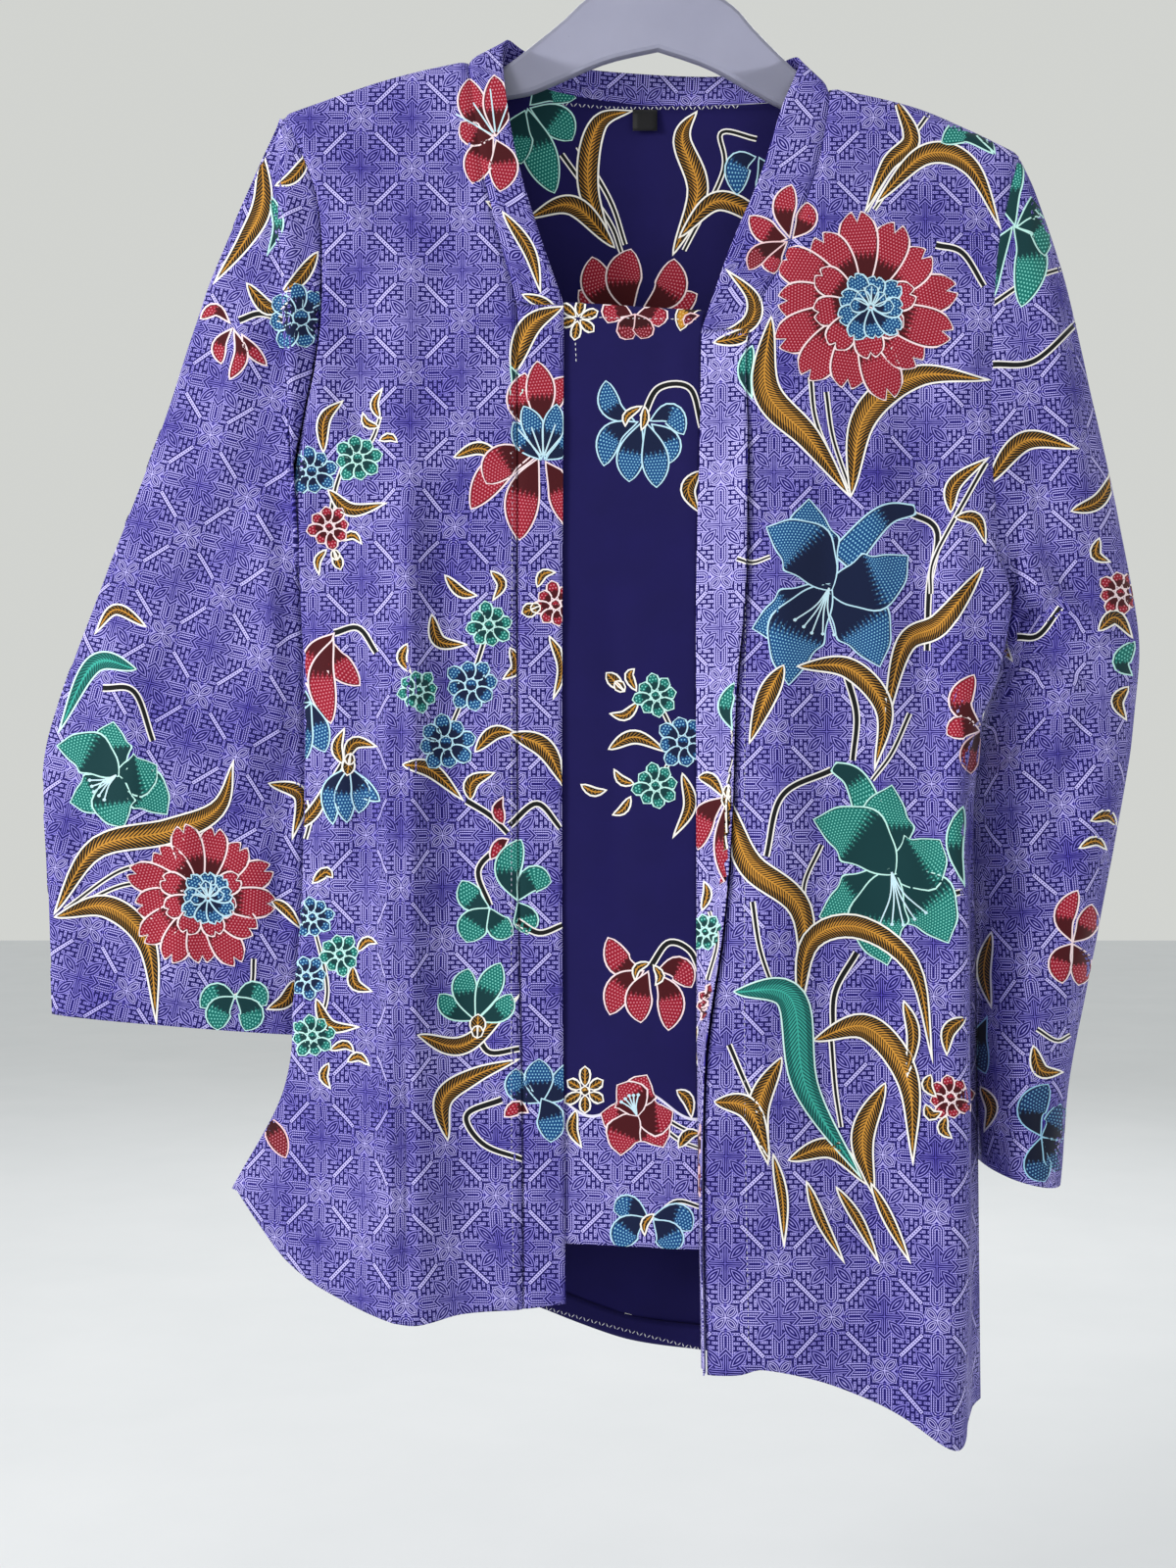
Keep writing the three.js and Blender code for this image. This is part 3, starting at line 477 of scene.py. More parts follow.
def unevenness(points, seed):
    """Small soft waves in every cloth, in mm."""
    random = np.random.default_rng(seed)
    lift = np.zeros(points.shape[:-1])
    for wavelength, height in ((95, 0.7), (62, 0.5), (41, 0.32), (27, 0.16)):
        for _ in range(2):
            angle = random.uniform(0, math.pi)
            phase = random.uniform(0, 2 * math.pi)
            along = points[..., 0] * math.cos(angle) + points[..., 2] * math.sin(angle)
            side = points[..., 0] * math.sin(angle) - points[..., 2] * math.cos(angle)
            wave = np.sin(2 * math.pi * along / wavelength + phase + 0.7 * np.sin(side / wavelength * 2.3))
            lift += height / 2 * wave
    return lift


def keep(bm, name, materials):
    """Turns a bmesh into a piece of the object."""
    mesh = bpy.data.meshes.new(name)
    bm.to_mesh(mesh)
    bm.free()
    for material in materials:
        mesh.materials.append(material)
    for polygon in mesh.polygons:
        polygon.use_smooth = True
    piece = bpy.data.objects.new(name, mesh)
    bpy.context.scene.collection.objects.link(piece)
    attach(piece, BODY)
    return piece


SEAM_VALLEY = 1.7  # depth of the valley along a seam, mm
SEAM_WIDTH = 2.6  # half width of that valley, mm
CALM_WIDTH = 14  # how far from a seam the creases fade out, mm
LAP_FADE = 60  # length over which a lap begins, mm

# Where a front's side edge is spread sideways: from this share of its width, over this share more,
# and below this height, over this length, mm
SPREAD_START = 0.86
SPREAD_RUN = 0.14
SPREAD_TOP = -140
SPREAD_FADE = 60

# The outer faces of the cloth pieces, on which the print and the sewing lie
FACES = {}


def cloth(name, surface, size, material, creases=(), waves=1.0, seed=1, tube=False, faces_front=True,
          sewn=(), unrolled=False, tilt=0.0, laps=(), spread=0.0):
    """A thin cloth on a surface: size is its length across and down, in mm."""
    columns = max(4, round(size[0] / CELL))
    rows = max(4, round(size[1] / CELL))
    bm = bmesh.new()
    bmesh.ops.create_grid(bm, x_segments=columns, y_segments=rows, size=0.5)
    bm.verts.ensure_lookup_table()
    share = np.array([(v.co.x + 0.5, 0.5 - v.co.y) for v in bm.verts])
    i = np.rint(share[:, 0] * columns).astype(int)
    j = np.rint(share[:, 1] * rows).astype(int)
    across, down = np.meshgrid(np.linspace(0, 1, columns + 1), np.linspace(0, 1, rows + 1))
    points = surface(across, down)
    if spread:
        outer = ease((across - SPREAD_START) / SPREAD_RUN)
        points[..., 0] += spread * outer * ease((SPREAD_TOP - points[..., 2]) / SPREAD_FADE)
    across_step = np.gradient(points, axis=1)
    down_step = np.gradient(points, axis=0)
    if tube:
        across_step[:, 0] = across_step[:, -1] = points[:, 1] - points[:, -2]
    normal = np.cross(across_step, down_step)
    normal /= np.maximum(np.linalg.norm(normal, axis=-1, keepdims=True), 1e-9)
    front_columns = slice(columns // 8, columns * 3 // 8) if tube else slice(None)
    facing = normal[:, front_columns, 1].mean()
    outward = -1 if (facing > 0) == faces_front else 1
    normal *= outward

    across_lengths = np.cumsum(np.linalg.norm(np.diff(points, axis=1), axis=-1), 1)
    down_lengths = np.cumsum(np.linalg.norm(np.diff(points, axis=0), axis=-1), 0)
    along = np.concatenate([np.zeros((rows + 1, 1)), across_lengths], 1)
    fall = np.concatenate([np.zeros((1, columns + 1)), down_lengths], 0)
    edge = np.full(along.shape, 1e9)
    if "left" in sewn:
        edge = np.minimum(edge, along)
    if "right" in sewn:
        edge = np.minimum(edge, along[:, -1:] - along)
    if "top" in sewn:
        edge = np.minimum(edge, fall)
    calm = ease(edge / CALM_WIDTH)
    lift = (crease_lift(points, creases) + waves * unevenness(points, seed)) * np.abs(normal[..., 1])
    lift = lift * calm - SEAM_VALLEY * np.exp(-((edge / SEAM_WIDTH) ** 2))
    for side, height, start in laps:
        reach = along if side == "left" else along[:, -1:] - along
        lift += height * ease((fall - start) / LAP_FADE) * np.exp(-((reach / LAP_WIDTH) ** 2))
    points = points + normal * lift[..., None]

    uv_layer = bm.loops.layers.uv.new("cut_mm")
    if unrolled:
        grid_u = along - along[:, columns // 2, None]
        grid_v = -fall
    else:
        grain = np.array([math.cos(math.radians(tilt)), math.sin(math.radians(tilt))])
        flat_u = points[..., 0] * grain[0] + points[..., 2] * grain[1]
        grid_v = points[..., 2] * grain[0] - points[..., 0] * grain[1]
        reference = columns // 4 if tube else columns // 2
        steps = np.hypot(np.diff(flat_u, axis=1), np.diff(points[..., 1], axis=1))
        run = np.concatenate([np.zeros((rows + 1, 1)), np.cumsum(steps, 1)], 1)
        rising = np.sign(flat_u[:, columns * 3 // 8] - flat_u[:, columns // 8])[:, None]
        grid_u = flat_u[:, reference, None] + rising * (run - run[:, reference, None])
    sheet_u = grid_u[j, i]
    sheet_v = grid_v[j, i]
    for vert, place in zip(bm.verts, points[j, i] * MM):
        vert.co = place
    for face in bm.faces:
        for loop in face.loops:
            index = loop.vert.index
            loop[uv_layer].uv = (sheet_u[index], sheet_v[index])
    bm.normal_update()
    dots = sum(f.normal.dot(Vector(normal[j[f.verts[0].index], i[f.verts[0].index]])) for f in bm.faces)
    if dots < 0:
        bmesh.ops.reverse_faces(bm, faces=bm.faces[:])
    if tube:
        bmesh.ops.remove_doubles(bm, verts=bm.verts[:], dist=1e-6)
    bm.normal_update()
    FACES[name] = BVHTree.FromBMesh(bm)
    piece = keep(bm, name, [material])
    shell = piece.modifiers.new("thickness", "SOLIDIFY")
    shell.thickness = CLOTH * MM
    shell.offset = -1
    shell.use_even_offset = False
    return piece


class Recipe:
    """A material and the small sums that its pattern is made of."""

    def __init__(self, name, roughness=0.85, sheen=0.06):
        self.material = bpy.data.materials.new(name)
        self.material.use_nodes = True
        self.nodes = self.material.node_tree.nodes
        self.links = self.material.node_tree.links
        self.shader = self.nodes["Principled BSDF"]
        self.shader.inputs["Roughness"].default_value = roughness
        self.shader.inputs["Sheen Weight"].default_value = sheen
        self.shader.inputs["Sheen Roughness"].default_value = 0.5
        self.shader.inputs["Specular IOR Level"].default_value = 0.25

    def put(self, socket, value):
        if isinstance(value, bpy.types.NodeSocket):
            self.links.new(value, socket)
        else:
            socket.default_value = value

    def sum(self, operation, *values):
        node = self.nodes.new("ShaderNodeMath")
        node.operation = operation
        for socket, value in zip(node.inputs, values):
            self.put(socket, value)
        return node.outputs[0]

    def add(self, a, b):
        return self.sum("ADD", a, b)

    def minus(self, a, b):
        return self.sum("SUBTRACT", a, b)

    def times(self, a, b):
        return self.sum("MULTIPLY", a, b)

    def size(self, a):
        return self.sum("ABSOLUTE", a)

    def larger(self, a, b):
        return self.sum("MAXIMUM", a, b)

    def smaller(self, a, b):
        return self.sum("MINIMUM", a, b)

    def nearest(self, a):
        return self.sum("ROUND", a)

    def below(self, value, limit, soft=0.14):
        """1 where a value is under a limit, 0 where it is over, with a soft edge."""
        node = self.nodes.new("ShaderNodeMapRange")
        self.put(node.inputs["Value"], value)
        self.put(node.inputs["From Min"], limit - soft)
        self.put(node.inputs["From Max"], limit + soft)
        self.put(node.inputs["To Min"], 1.0)
        self.put(node.inputs["To Max"], 0.0)
        return node.outputs["Result"]

    def line(self, value, place, half_width):
        """1 on a line where a value is at a place."""
        return self.below(self.size(self.minus(value, place)), half_width)

    def mix(self, factor, a, b):
        node = self.nodes.new("ShaderNodeMix")
        node.data_type = "RGBA"
        self.put(node.inputs[0], factor)
        self.put(node.inputs[6], a)
        self.put(node.inputs[7], b)
        return node.outputs[2]

    def blend(self, factor, a, b):
        """A number between a and b."""
        node = self.nodes.new("ShaderNodeMix")
        node.data_type = "FLOAT"
        self.put(node.inputs[0], factor)
        self.put(node.inputs[2], a)
        self.put(node.inputs[3], b)
        return node.outputs[0]

    def ramp(self, value, stops):
        node = self.nodes.new("ShaderNodeValToRGB")
        ramp = node.color_ramp
        while len(ramp.elements) < len(stops):
            ramp.elements.new(0.5)
        for element, (place, colour) in zip(ramp.elements, stops):
            element.position = place
            element.color = colour
        self.put(node.inputs[0], value)
        return node.outputs[0]

    def attribute(self, name):
        node = self.nodes.new("ShaderNodeAttribute")
        node.attribute_name = name
        return node.outputs["Fac"]

    def uv(self):
        node = self.nodes.new("ShaderNodeUVMap")
        node.uv_map = "cut_mm"
        parts = self.nodes.new("ShaderNodeSeparateXYZ")
        self.links.new(node.outputs["UV"], parts.inputs[0])
        return node.outputs["UV"], parts.outputs["X"], parts.outputs["Y"]

    def noise(self, vector, scale, detail=3.0, roughness=0.55):
        node = self.nodes.new("ShaderNodeTexNoise")
        self.links.new(vector, node.inputs["Vector"])
        node.inputs["Scale"].default_value = scale
        node.inputs["Detail"].default_value = detail
        node.inputs["Roughness"].default_value = roughness
        return node.outputs["Fac"]

    def object_place(self):
        return self.nodes.new("ShaderNodeTexCoord").outputs["Object"]

    def weave(self, u, v, pitch, strength, extra=None):
        """Bump of a plain weave, from the threads across and down, in mm."""
        warp = self.sum("SINE", self.times(u, 2 * math.pi / pitch))
        weft = self.sum("SINE", self.times(v, 2 * math.pi / pitch))
        height = self.times(warp, weft)
        if extra is not None:
            height = self.add(height, extra)
        bump = self.nodes.new("ShaderNodeBump")
        bump.inputs["Strength"].default_value = strength
        bump.inputs["Distance"].default_value = 0.1 * MM
        self.links.new(height, bump.inputs["Height"])
        self.links.new(bump.outputs[0], self.shader.inputs["Normal"])

    def done(self, colour):
        self.put(self.shader.inputs["Base Color"], colour)
        return self.material


# Print of the main cloth: star flowers and small four-petalled flowers in turn on a square grid
STAR_PITCH = 28.5
GROUND_DARK = linear("120A5A")
GROUND_MIDDLE = linear("4132B4")
GROUND_LIGHT = linear("CBC4FB")
GROUND_STOPS = ((0.24, GROUND_DARK), (0.5, GROUND_MIDDLE), (0.8, GROUND_LIGHT))
VIOLET = linear("150D55")
VIOLET_DEEP = linear("0E0846")


def star_ground(recipe, u, v):
    """How light the printed ground is, from 0 to 1, at a place in mm."""
    r = recipe
    pitch = STAR_PITCH
    root = math.sqrt(2)
    first = r.times(r.add(u, v), 1 / (2 * pitch))
    second = r.times(r.minus(u, v), 1 / (2 * pitch))
    first = r.minus(first, r.nearest(first))
    second = r.minus(second, r.nearest(second))
    x = r.size(r.times(r.add(first, second), pitch))
    y = r.size(r.times(r.minus(first, second), pitch))
    far = r.larger(x, y)
    near = r.smaller(x, y)
    diagonal = r.times(r.add(far, near), 1 / root)
    off_diagonal = r.times(r.minus(far, near), 1 / root)
    head = r.add(far, near)

    def lens(along, off, middle, half_length, half_width):
        part = r.times(r.minus(along, middle), 1 / half_length)
        width = r.minus(half_width, r.times(r.times(part, part), half_width))
        return r.minus(off, width)

    def ripple(value, spacing, middle, swing):
        wave = r.sum("COSINE", r.times(value, 2 * math.pi / spacing))
        return r.add(r.times(wave, swing), middle)

    def beads(place, spacing, off, half_width):
        part = r.times(place, 1 / spacing)
        part = r.size(r.minus(part, r.nearest(part)))
        return r.times(r.below(part, 0.22, 0.08), r.below(off, half_width, 0.1))

    # Short beaded combs fill the ground between the other figures
    course = r.times(far, 1 / 2.5)
    row = r.nearest(course)
    tooth = r.times(r.size(r.minus(course, row)), 2.5)
    brick = r.add(r.times(near, 1 / 5.4), r.times(r.sum("MODULO", row, 2.0), 0.5))
    brick = r.times(r.size(r.minus(brick, r.nearest(brick))), 5.4)
    in_brick = r.times(r.below(tooth, 0.78, 0.12), r.below(brick, 2.15, 0.15))
    level = r.add(0.12, r.times(in_brick, 0.6))
    level = r.minus(level, r.times(beads(near, 1.35, tooth, 0.25), 0.55))

    # Straight beaded bars between the small flowers
    edge = r.times(r.minus(pitch, head), 1 / root)
    in_bar = r.times(r.below(edge, 1.6), r.below(off_diagonal, 8.5))
    bar = r.add(0.06, r.times(r.below(edge, 0.95, 0.1), 0.8))
    bar = r.minus(bar, r.times(beads(off_diagonal, 1.5, edge, 0.3), 0.6))
    level = r.blend(in_bar, level, bar)

    # Four leaves on the diagonals of each star
    leaf = lens(diagonal, off_diagonal, 9.6, 6.8, 3.0)
    leaf_tone = ripple(leaf, 1.45, 0.4, 0.36)
    level = r.blend(r.below(leaf, 0.45), level, leaf_tone)

    # A tongue and an arrow on each axis
    past = r.larger(r.minus(far, 18.4), 0.0)
    cap = r.sum("SQRT", r.add(r.times(past, past), r.times(near, near)))
    tongue = r.minus(cap, 3.5)
    grain = r.times(beads(far, 1.25, 0.0, 1.0), beads(near, 1.25, 0.0, 1.0))
    tongue_tone = r.add(ripple(tongue, 1.3, 0.4, 0.36), r.times(grain, 0.35))
    in_tongue = r.times(r.below(tongue, 0.5), r.below(r.minus(11.6, head), 0.0))
    level = r.blend(in_tongue, level, tongue_tone)
    arrow_tone = ripple(r.minus(head, 12.4), 2.1, 0.36, 0.4)
    in_arrow = r.times(r.below(head, 13.3), r.below(near, 3.1))
    level = r.blend(r.times(in_arrow, r.below(r.minus(9.0, head), 0.0)), level, arrow_tone)
    stalk_tone = ripple(near, 1.15, 0.42, 0.3)
    level = r.blend(r.times(r.below(head, 9.4), r.below(near, 1.7)), level, stalk_tone)
    level = r.minus(level, r.times(r.below(head, 3.0, 2.0), 0.06))

    # A small flower of four eye-shaped petals at each corner
    corner = r.minus(pitch, far)
    along = r.times(r.add(corner, near), 1 / root)
    off = r.size(r.times(r.minus(corner, near), 1 / root))
    petal = lens(along, off, 4.5, 4.3, 1.9)
    in_corner = r.below(r.add(corner, near), 8.2)
    corner_tone = r.add(0.3, r.times(r.below(r.size(r.minus(petal, 1.35)), 0.5, 0.2), 0.45))
    level = r.blend(r.times(in_corner, r.below(r.larger(corner, near), 6.6)), level, corner_tone)
    level = r.blend(r.below(petal, 0.5), level, ripple(petal, 1.05, 0.5, 0.45))
    return level


THREAD_PITCH = 0.62  # from one thread of the cotton to the next, mm
GROUND_TONE = 0.62  # a larger number makes the whole ground darker


def batik_material(name, lift=0.0):
    """Cotton with the printed ground; lift makes the whole print lighter, which paints light onto a copy of
    the same cloth.
    """
    r = Recipe(name)
    place, u, v = r.uv()
    level = star_ground(r, u, v)
    worn = r.noise(place, 0.022, 3.0)
    level = r.add(level, r.times(r.minus(worn, GROUND_TONE - lift), 0.4))
    colour = r.ramp(level, GROUND_STOPS)
    r.weave(u, v, THREAD_PITCH, 0.35, r.times(r.noise(place, 0.9), 2.0))
    return r.done(colour)


def violet_material(name, lattice_from=None):
    """Plain dyed violet cotton; below lattice_from, in mm down the cut, it has a light lattice."""
    r = Recipe(name, sheen=0.04)
    place, u, v = r.uv()
    shade = r.noise(place, 0.035, 4.0)
    colour = r.mix(shade, VIOLET_DEEP, VIOLET)
    if lattice_from is not None:
        wave = r.times(r.sum("SINE", r.times(u, 0.11)), 7.0)
        low = r.below(r.add(v, wave), -lattice_from, 0.3)
        rim = r.line(r.add(v, wave), -lattice_from, 0.8)
        level = star_ground(r, u, v)
        ground = r.ramp(level, GROUND_STOPS)
        colour = r.mix(low, colour, ground)
        colour = r.mix(rim, colour, linear("E9E6FA"))
    r.weave(u, v, THREAD_PITCH, 0.35, r.times(r.noise(place, 0.9), 2.0))
    return r.done(colour)


DOT_PITCH = 1.75  # from one printed dot to the next, mm
LEAF_MARGIN = 3.2  # width of a leaf's dark margin, mm


def ink(name, deep, bright, edge, marks, kind="dots", outline=0.85):
    """A printed motif colour: dark at a petal's foot, bright at its tip, marked, with a light outline."""
    r = Recipe("ink_" + name, sheen=0.1)
    rim = r.attribute("rim")
    reach = r.attribute("reach")
    across = r.attribute("across")
    along = r.attribute("along")
    if kind == "dots":
        jag = r.times(r.sum("SINE", r.times(across, 2.4)), 0.035)
        foot = r.below(r.add(reach, jag), 0.5, 0.04)
        body = r.mix(foot, linear(bright), linear(deep))
        row = r.nearest(r.times(along, 1 / DOT_PITCH))
        shift = r.times(r.sum("MODULO", r.size(row), 2.0), 0.5)
        column = r.add(r.times(across, 1 / DOT_PITCH), shift)
        dx = r.times(r.minus(column, r.nearest(column)), DOT_PITCH)
        dy = r.minus(along, r.times(row, DOT_PITCH))
        distance = r.sum("SQRT", r.add(r.times(dx, dx), r.times(dy, dy)))
        mark = r.times(r.below(distance, 0.42, 0.08), r.minus(1.0, foot))
        body = r.mix(mark, body, linear(marks))
    elif kind == "herringbone":
        slant = r.times(r.add(along, r.times(r.size(across), -1.1)), 1 / 2.1)
        off = r.size(r.minus(slant, r.nearest(slant)))
        middle = r.below(r.minus(outline + LEAF_MARGIN, rim), 0.0, 0.4)
        width = r.add(0.08, r.times(middle, 0.17))
        barb = r.below(r.minus(off, width), 0.0, 0.09)
        gold = r.larger(barb, r.below(r.size(across), 0.35, 0.15))
        body = r.mix(gold, linear(deep), linear(bright))
    else:
        body = linear(deep)
    body = r.mix(r.line(rim, outline + 0.3, 0.28), body, linear(deep))
    colour = r.mix(r.below(rim, outline, 0.1), body, linear(edge))
    place = r.object_place()
    bump = r.nodes.new("ShaderNodeBump")
    bump.inputs["Strength"].default_value = 0.25
    bump.inputs["Distance"].default_value = 0.1 * MM
    r.links.new(r.noise(place, 1500.0), bump.inputs["Height"])
    r.links.new(bump.outputs[0], r.shader.inputs["Normal"])
    return r.done(colour)


INKS = {
    "red": ink("red", "46050F", "960F28", "FBE4E8", "D8808E", outline=0.95),
    "maroon": ink("maroon", "36040C", "720B1C", "F0C9CF", "C87684"),
    "blue": ink("blue", "06163A", "0E4880", "BFE7F8", "8CCBE8", outline=0.9),
    "navy": ink("navy", "050F28", "0C3060", "9CD0EC", "6FAAD0"),
    "teal": ink("teal", "03363A", "0B6E66", "C4F4EC", "7FD8CA", outline=0.9),
    "teal_leaf": ink("teal_leaf", "06504E", "3DB2A2", "D6F8F2", "06504E", "herringbone", 0.9),
    "ochre": ink("ochre", "16110A", "CE9136", "FBF7F0", "20160B", "herringbone", 1.0),
    "gold": ink("gold", "2A1B0C", "BE8428", "FBF6EE", "DDB768"),
    "black": ink("black", "0E1012", "14110F", "F6F2EE", "14110F", "plain", 0.8),
    "pale": ink("pale", "BFE6F4", "EAF6FB", "EAF6FB", "EAF6FB", "plain", 0.1),
}

STEP = 2.4  # length of a cell of a printed motif, mm
FIRST_LIFT = 0.12  # height of the lowest print over the cloth, mm
LAYER_LIFT = 0.024  # height from one layer of print to the next, mm
MOST_LAYERS = 60


class Print:
    """The printed motifs on one face of one cloth piece."""

    def __init__(self, name, sheet, side="front"):
        self.name = name
        self.tree = FACES[sheet]
        self.side = side
        self.bm = bmesh.new()
        self.marks = {key: self.bm.verts.layers.float.new(key) for key in ("rim", "reach", "across", "along")}
        self.lift = self.bm.verts.layers.float.new("lift")
        self.inks = []
        self.boxes = []

    def patch(self, ink_name, columns, rows, shape):
        """Adds a grid; shape gives place, rim, reach, across and along at a pair of shares."""
        if ink_name not in self.inks:
            self.inks.append(ink_name)
        made = bmesh.ops.create_grid(self.bm, x_segments=columns, y_segments=rows, size=0.5)
        for vert in made["verts"]:
            place, *values = shape(vert.co.x * 2, vert.co.y + 0.5)
            vert.co = (place[0], place[1], 0)
            for key, value in zip(("rim", "reach", "across", "along"), values):
                vert[self.marks[key]] = value
        places = np.array([vert.co[:2] for vert in made["verts"]])
        low = places.min(axis=0)
        high = places.max(axis=0)
        crossed = [layer for start, end, layer in self.boxes if (start < high).all() and (low < end).all()]
        layer = 1 + max(crossed, default=0)
        self.boxes.append((low, high, layer))
        for vert in made["verts"]:
            vert[self.lift] = layer
        for face in {f for v in made["verts"] for f in v.link_faces}:
            face.material_index = self.inks.index(ink_name)

    def ray(self, x, z):
        if self.side == "back":
            return Vector((x * MM, 1, z * MM)), Vector((0, -1, 0))
        eye = Vector((VIEW_MIDDLE[0], -EYE_DISTANCE, VIEW_MIDDLE[1])) * MM
        return eye, (Vector((x, 0, z)) * MM - eye).normalized()

    def project(self, x, z):
        """The place on the cloth behind a place of the view, and whether the cloth is there."""
        origin, direction = self.ray(x, z)
        place, normal, _, _ = self.tree.ray_cast(origin, direction)
        if place is not None:
            return place, normal, direction, True
        guess = origin - direction * (origin.y / direction.y)
        for _ in range(3):
            place, normal, _, _ = self.tree.find_nearest(guess)
            guess = origin + direction * ((place.y - origin.y) / direction.y)
        return place, normal, direction, False

    def lay(self, slot):
        """Lays the motifs on the cloth and cuts them where it ends."""
        bm = self.bm
        missed = set()
        for vert in bm.verts:
            place, normal, direction, met = self.project(vert.co.x, vert.co.y)
            if normal.dot(direction) > 0:
                place = place - normal * CLOTH * MM
                normal = -normal
            height = FIRST_LIFT + LAYER_LIFT * min(vert[self.lift], MOST_LAYERS)
            vert.co = place + normal * height * MM
            if not met:
                missed.add(vert)
        outside = [f for f in bm.faces if all(v in missed for v in f.verts)]
        bmesh.ops.delete(bm, geom=outside, context="FACES")
        thin = [f for f in bm.faces if f.calc_area() < 1e-10]
        bmesh.ops.delete(bm, geom=thin, context="FACES")
        bm.normal_update()
        towards = 1 if self.side == "back" else -1
        bmesh.ops.reverse_faces(bm, faces=[f for f in bm.faces if f.normal.y * towards < 0])
        return keep(bm, self.name, [INKS[i] for i in self.inks])


def spline_points(places, count):
    """Evenly spread points on a smooth line through places in mm."""
    places = np.array(places, float)
    if len(places) == 2:
        return lerp(places[0], places[1], np.linspace(0, 1, count)[:, None])
    share = np.linspace(0, 1, count)
    return np.stack([between(np.repeat(places[:, k, None], count, 1), share) for k in (0, 1)], -1)


def petal_width(t):
    return math.sin(math.pi * min(1.0, t) ** 1.3) ** 0.75 if 0 < t < 1 else 0.0


def lobed_width(t):
    if t < 0.7:
        return 0.22 + 0.78 * math.sin(math.pi / 2 * t / 0.7)
    return 1.0 - 0.5 * ((t - 0.7) / 0.3) ** 2


def pointed_width(t):
    return math.sin(math.pi * t) ** 0.8 * (1 - 0.4 * t ** 3) if 0 < t < 1 else 0.0


PROFILES = {
    "pointed": pointed_width,
    "leaf": lambda t: math.sin(math.pi * t ** 0.85) ** 0.85 if 0 < t < 1 else 0.0,
    "petal": petal_width,
    "lobed": lobed_width,
    "round": lambda t: math.sqrt(max(0.0, 1 - (2 * t ** 1.25 - 1) ** 2)),
    "disc": lambda t: math.sqrt(max(0.0, 1 - (2 * t - 1) ** 2)),
    "stem": lambda t: 1.0 - 0.15 * t,
    "flare": lambda t: 0.3 + 0.7 * t ** 0.8,
}


def tip_curve(profile, side):
    """Where a petal ends along its length, at a share of its half width."""
    if profile != "lobed":
        return 1.0
    return 1.0 - 0.14 * side ** 4 - 0.12 * max(0.0, 1 - 2.2 * abs(side)) ** 1.5


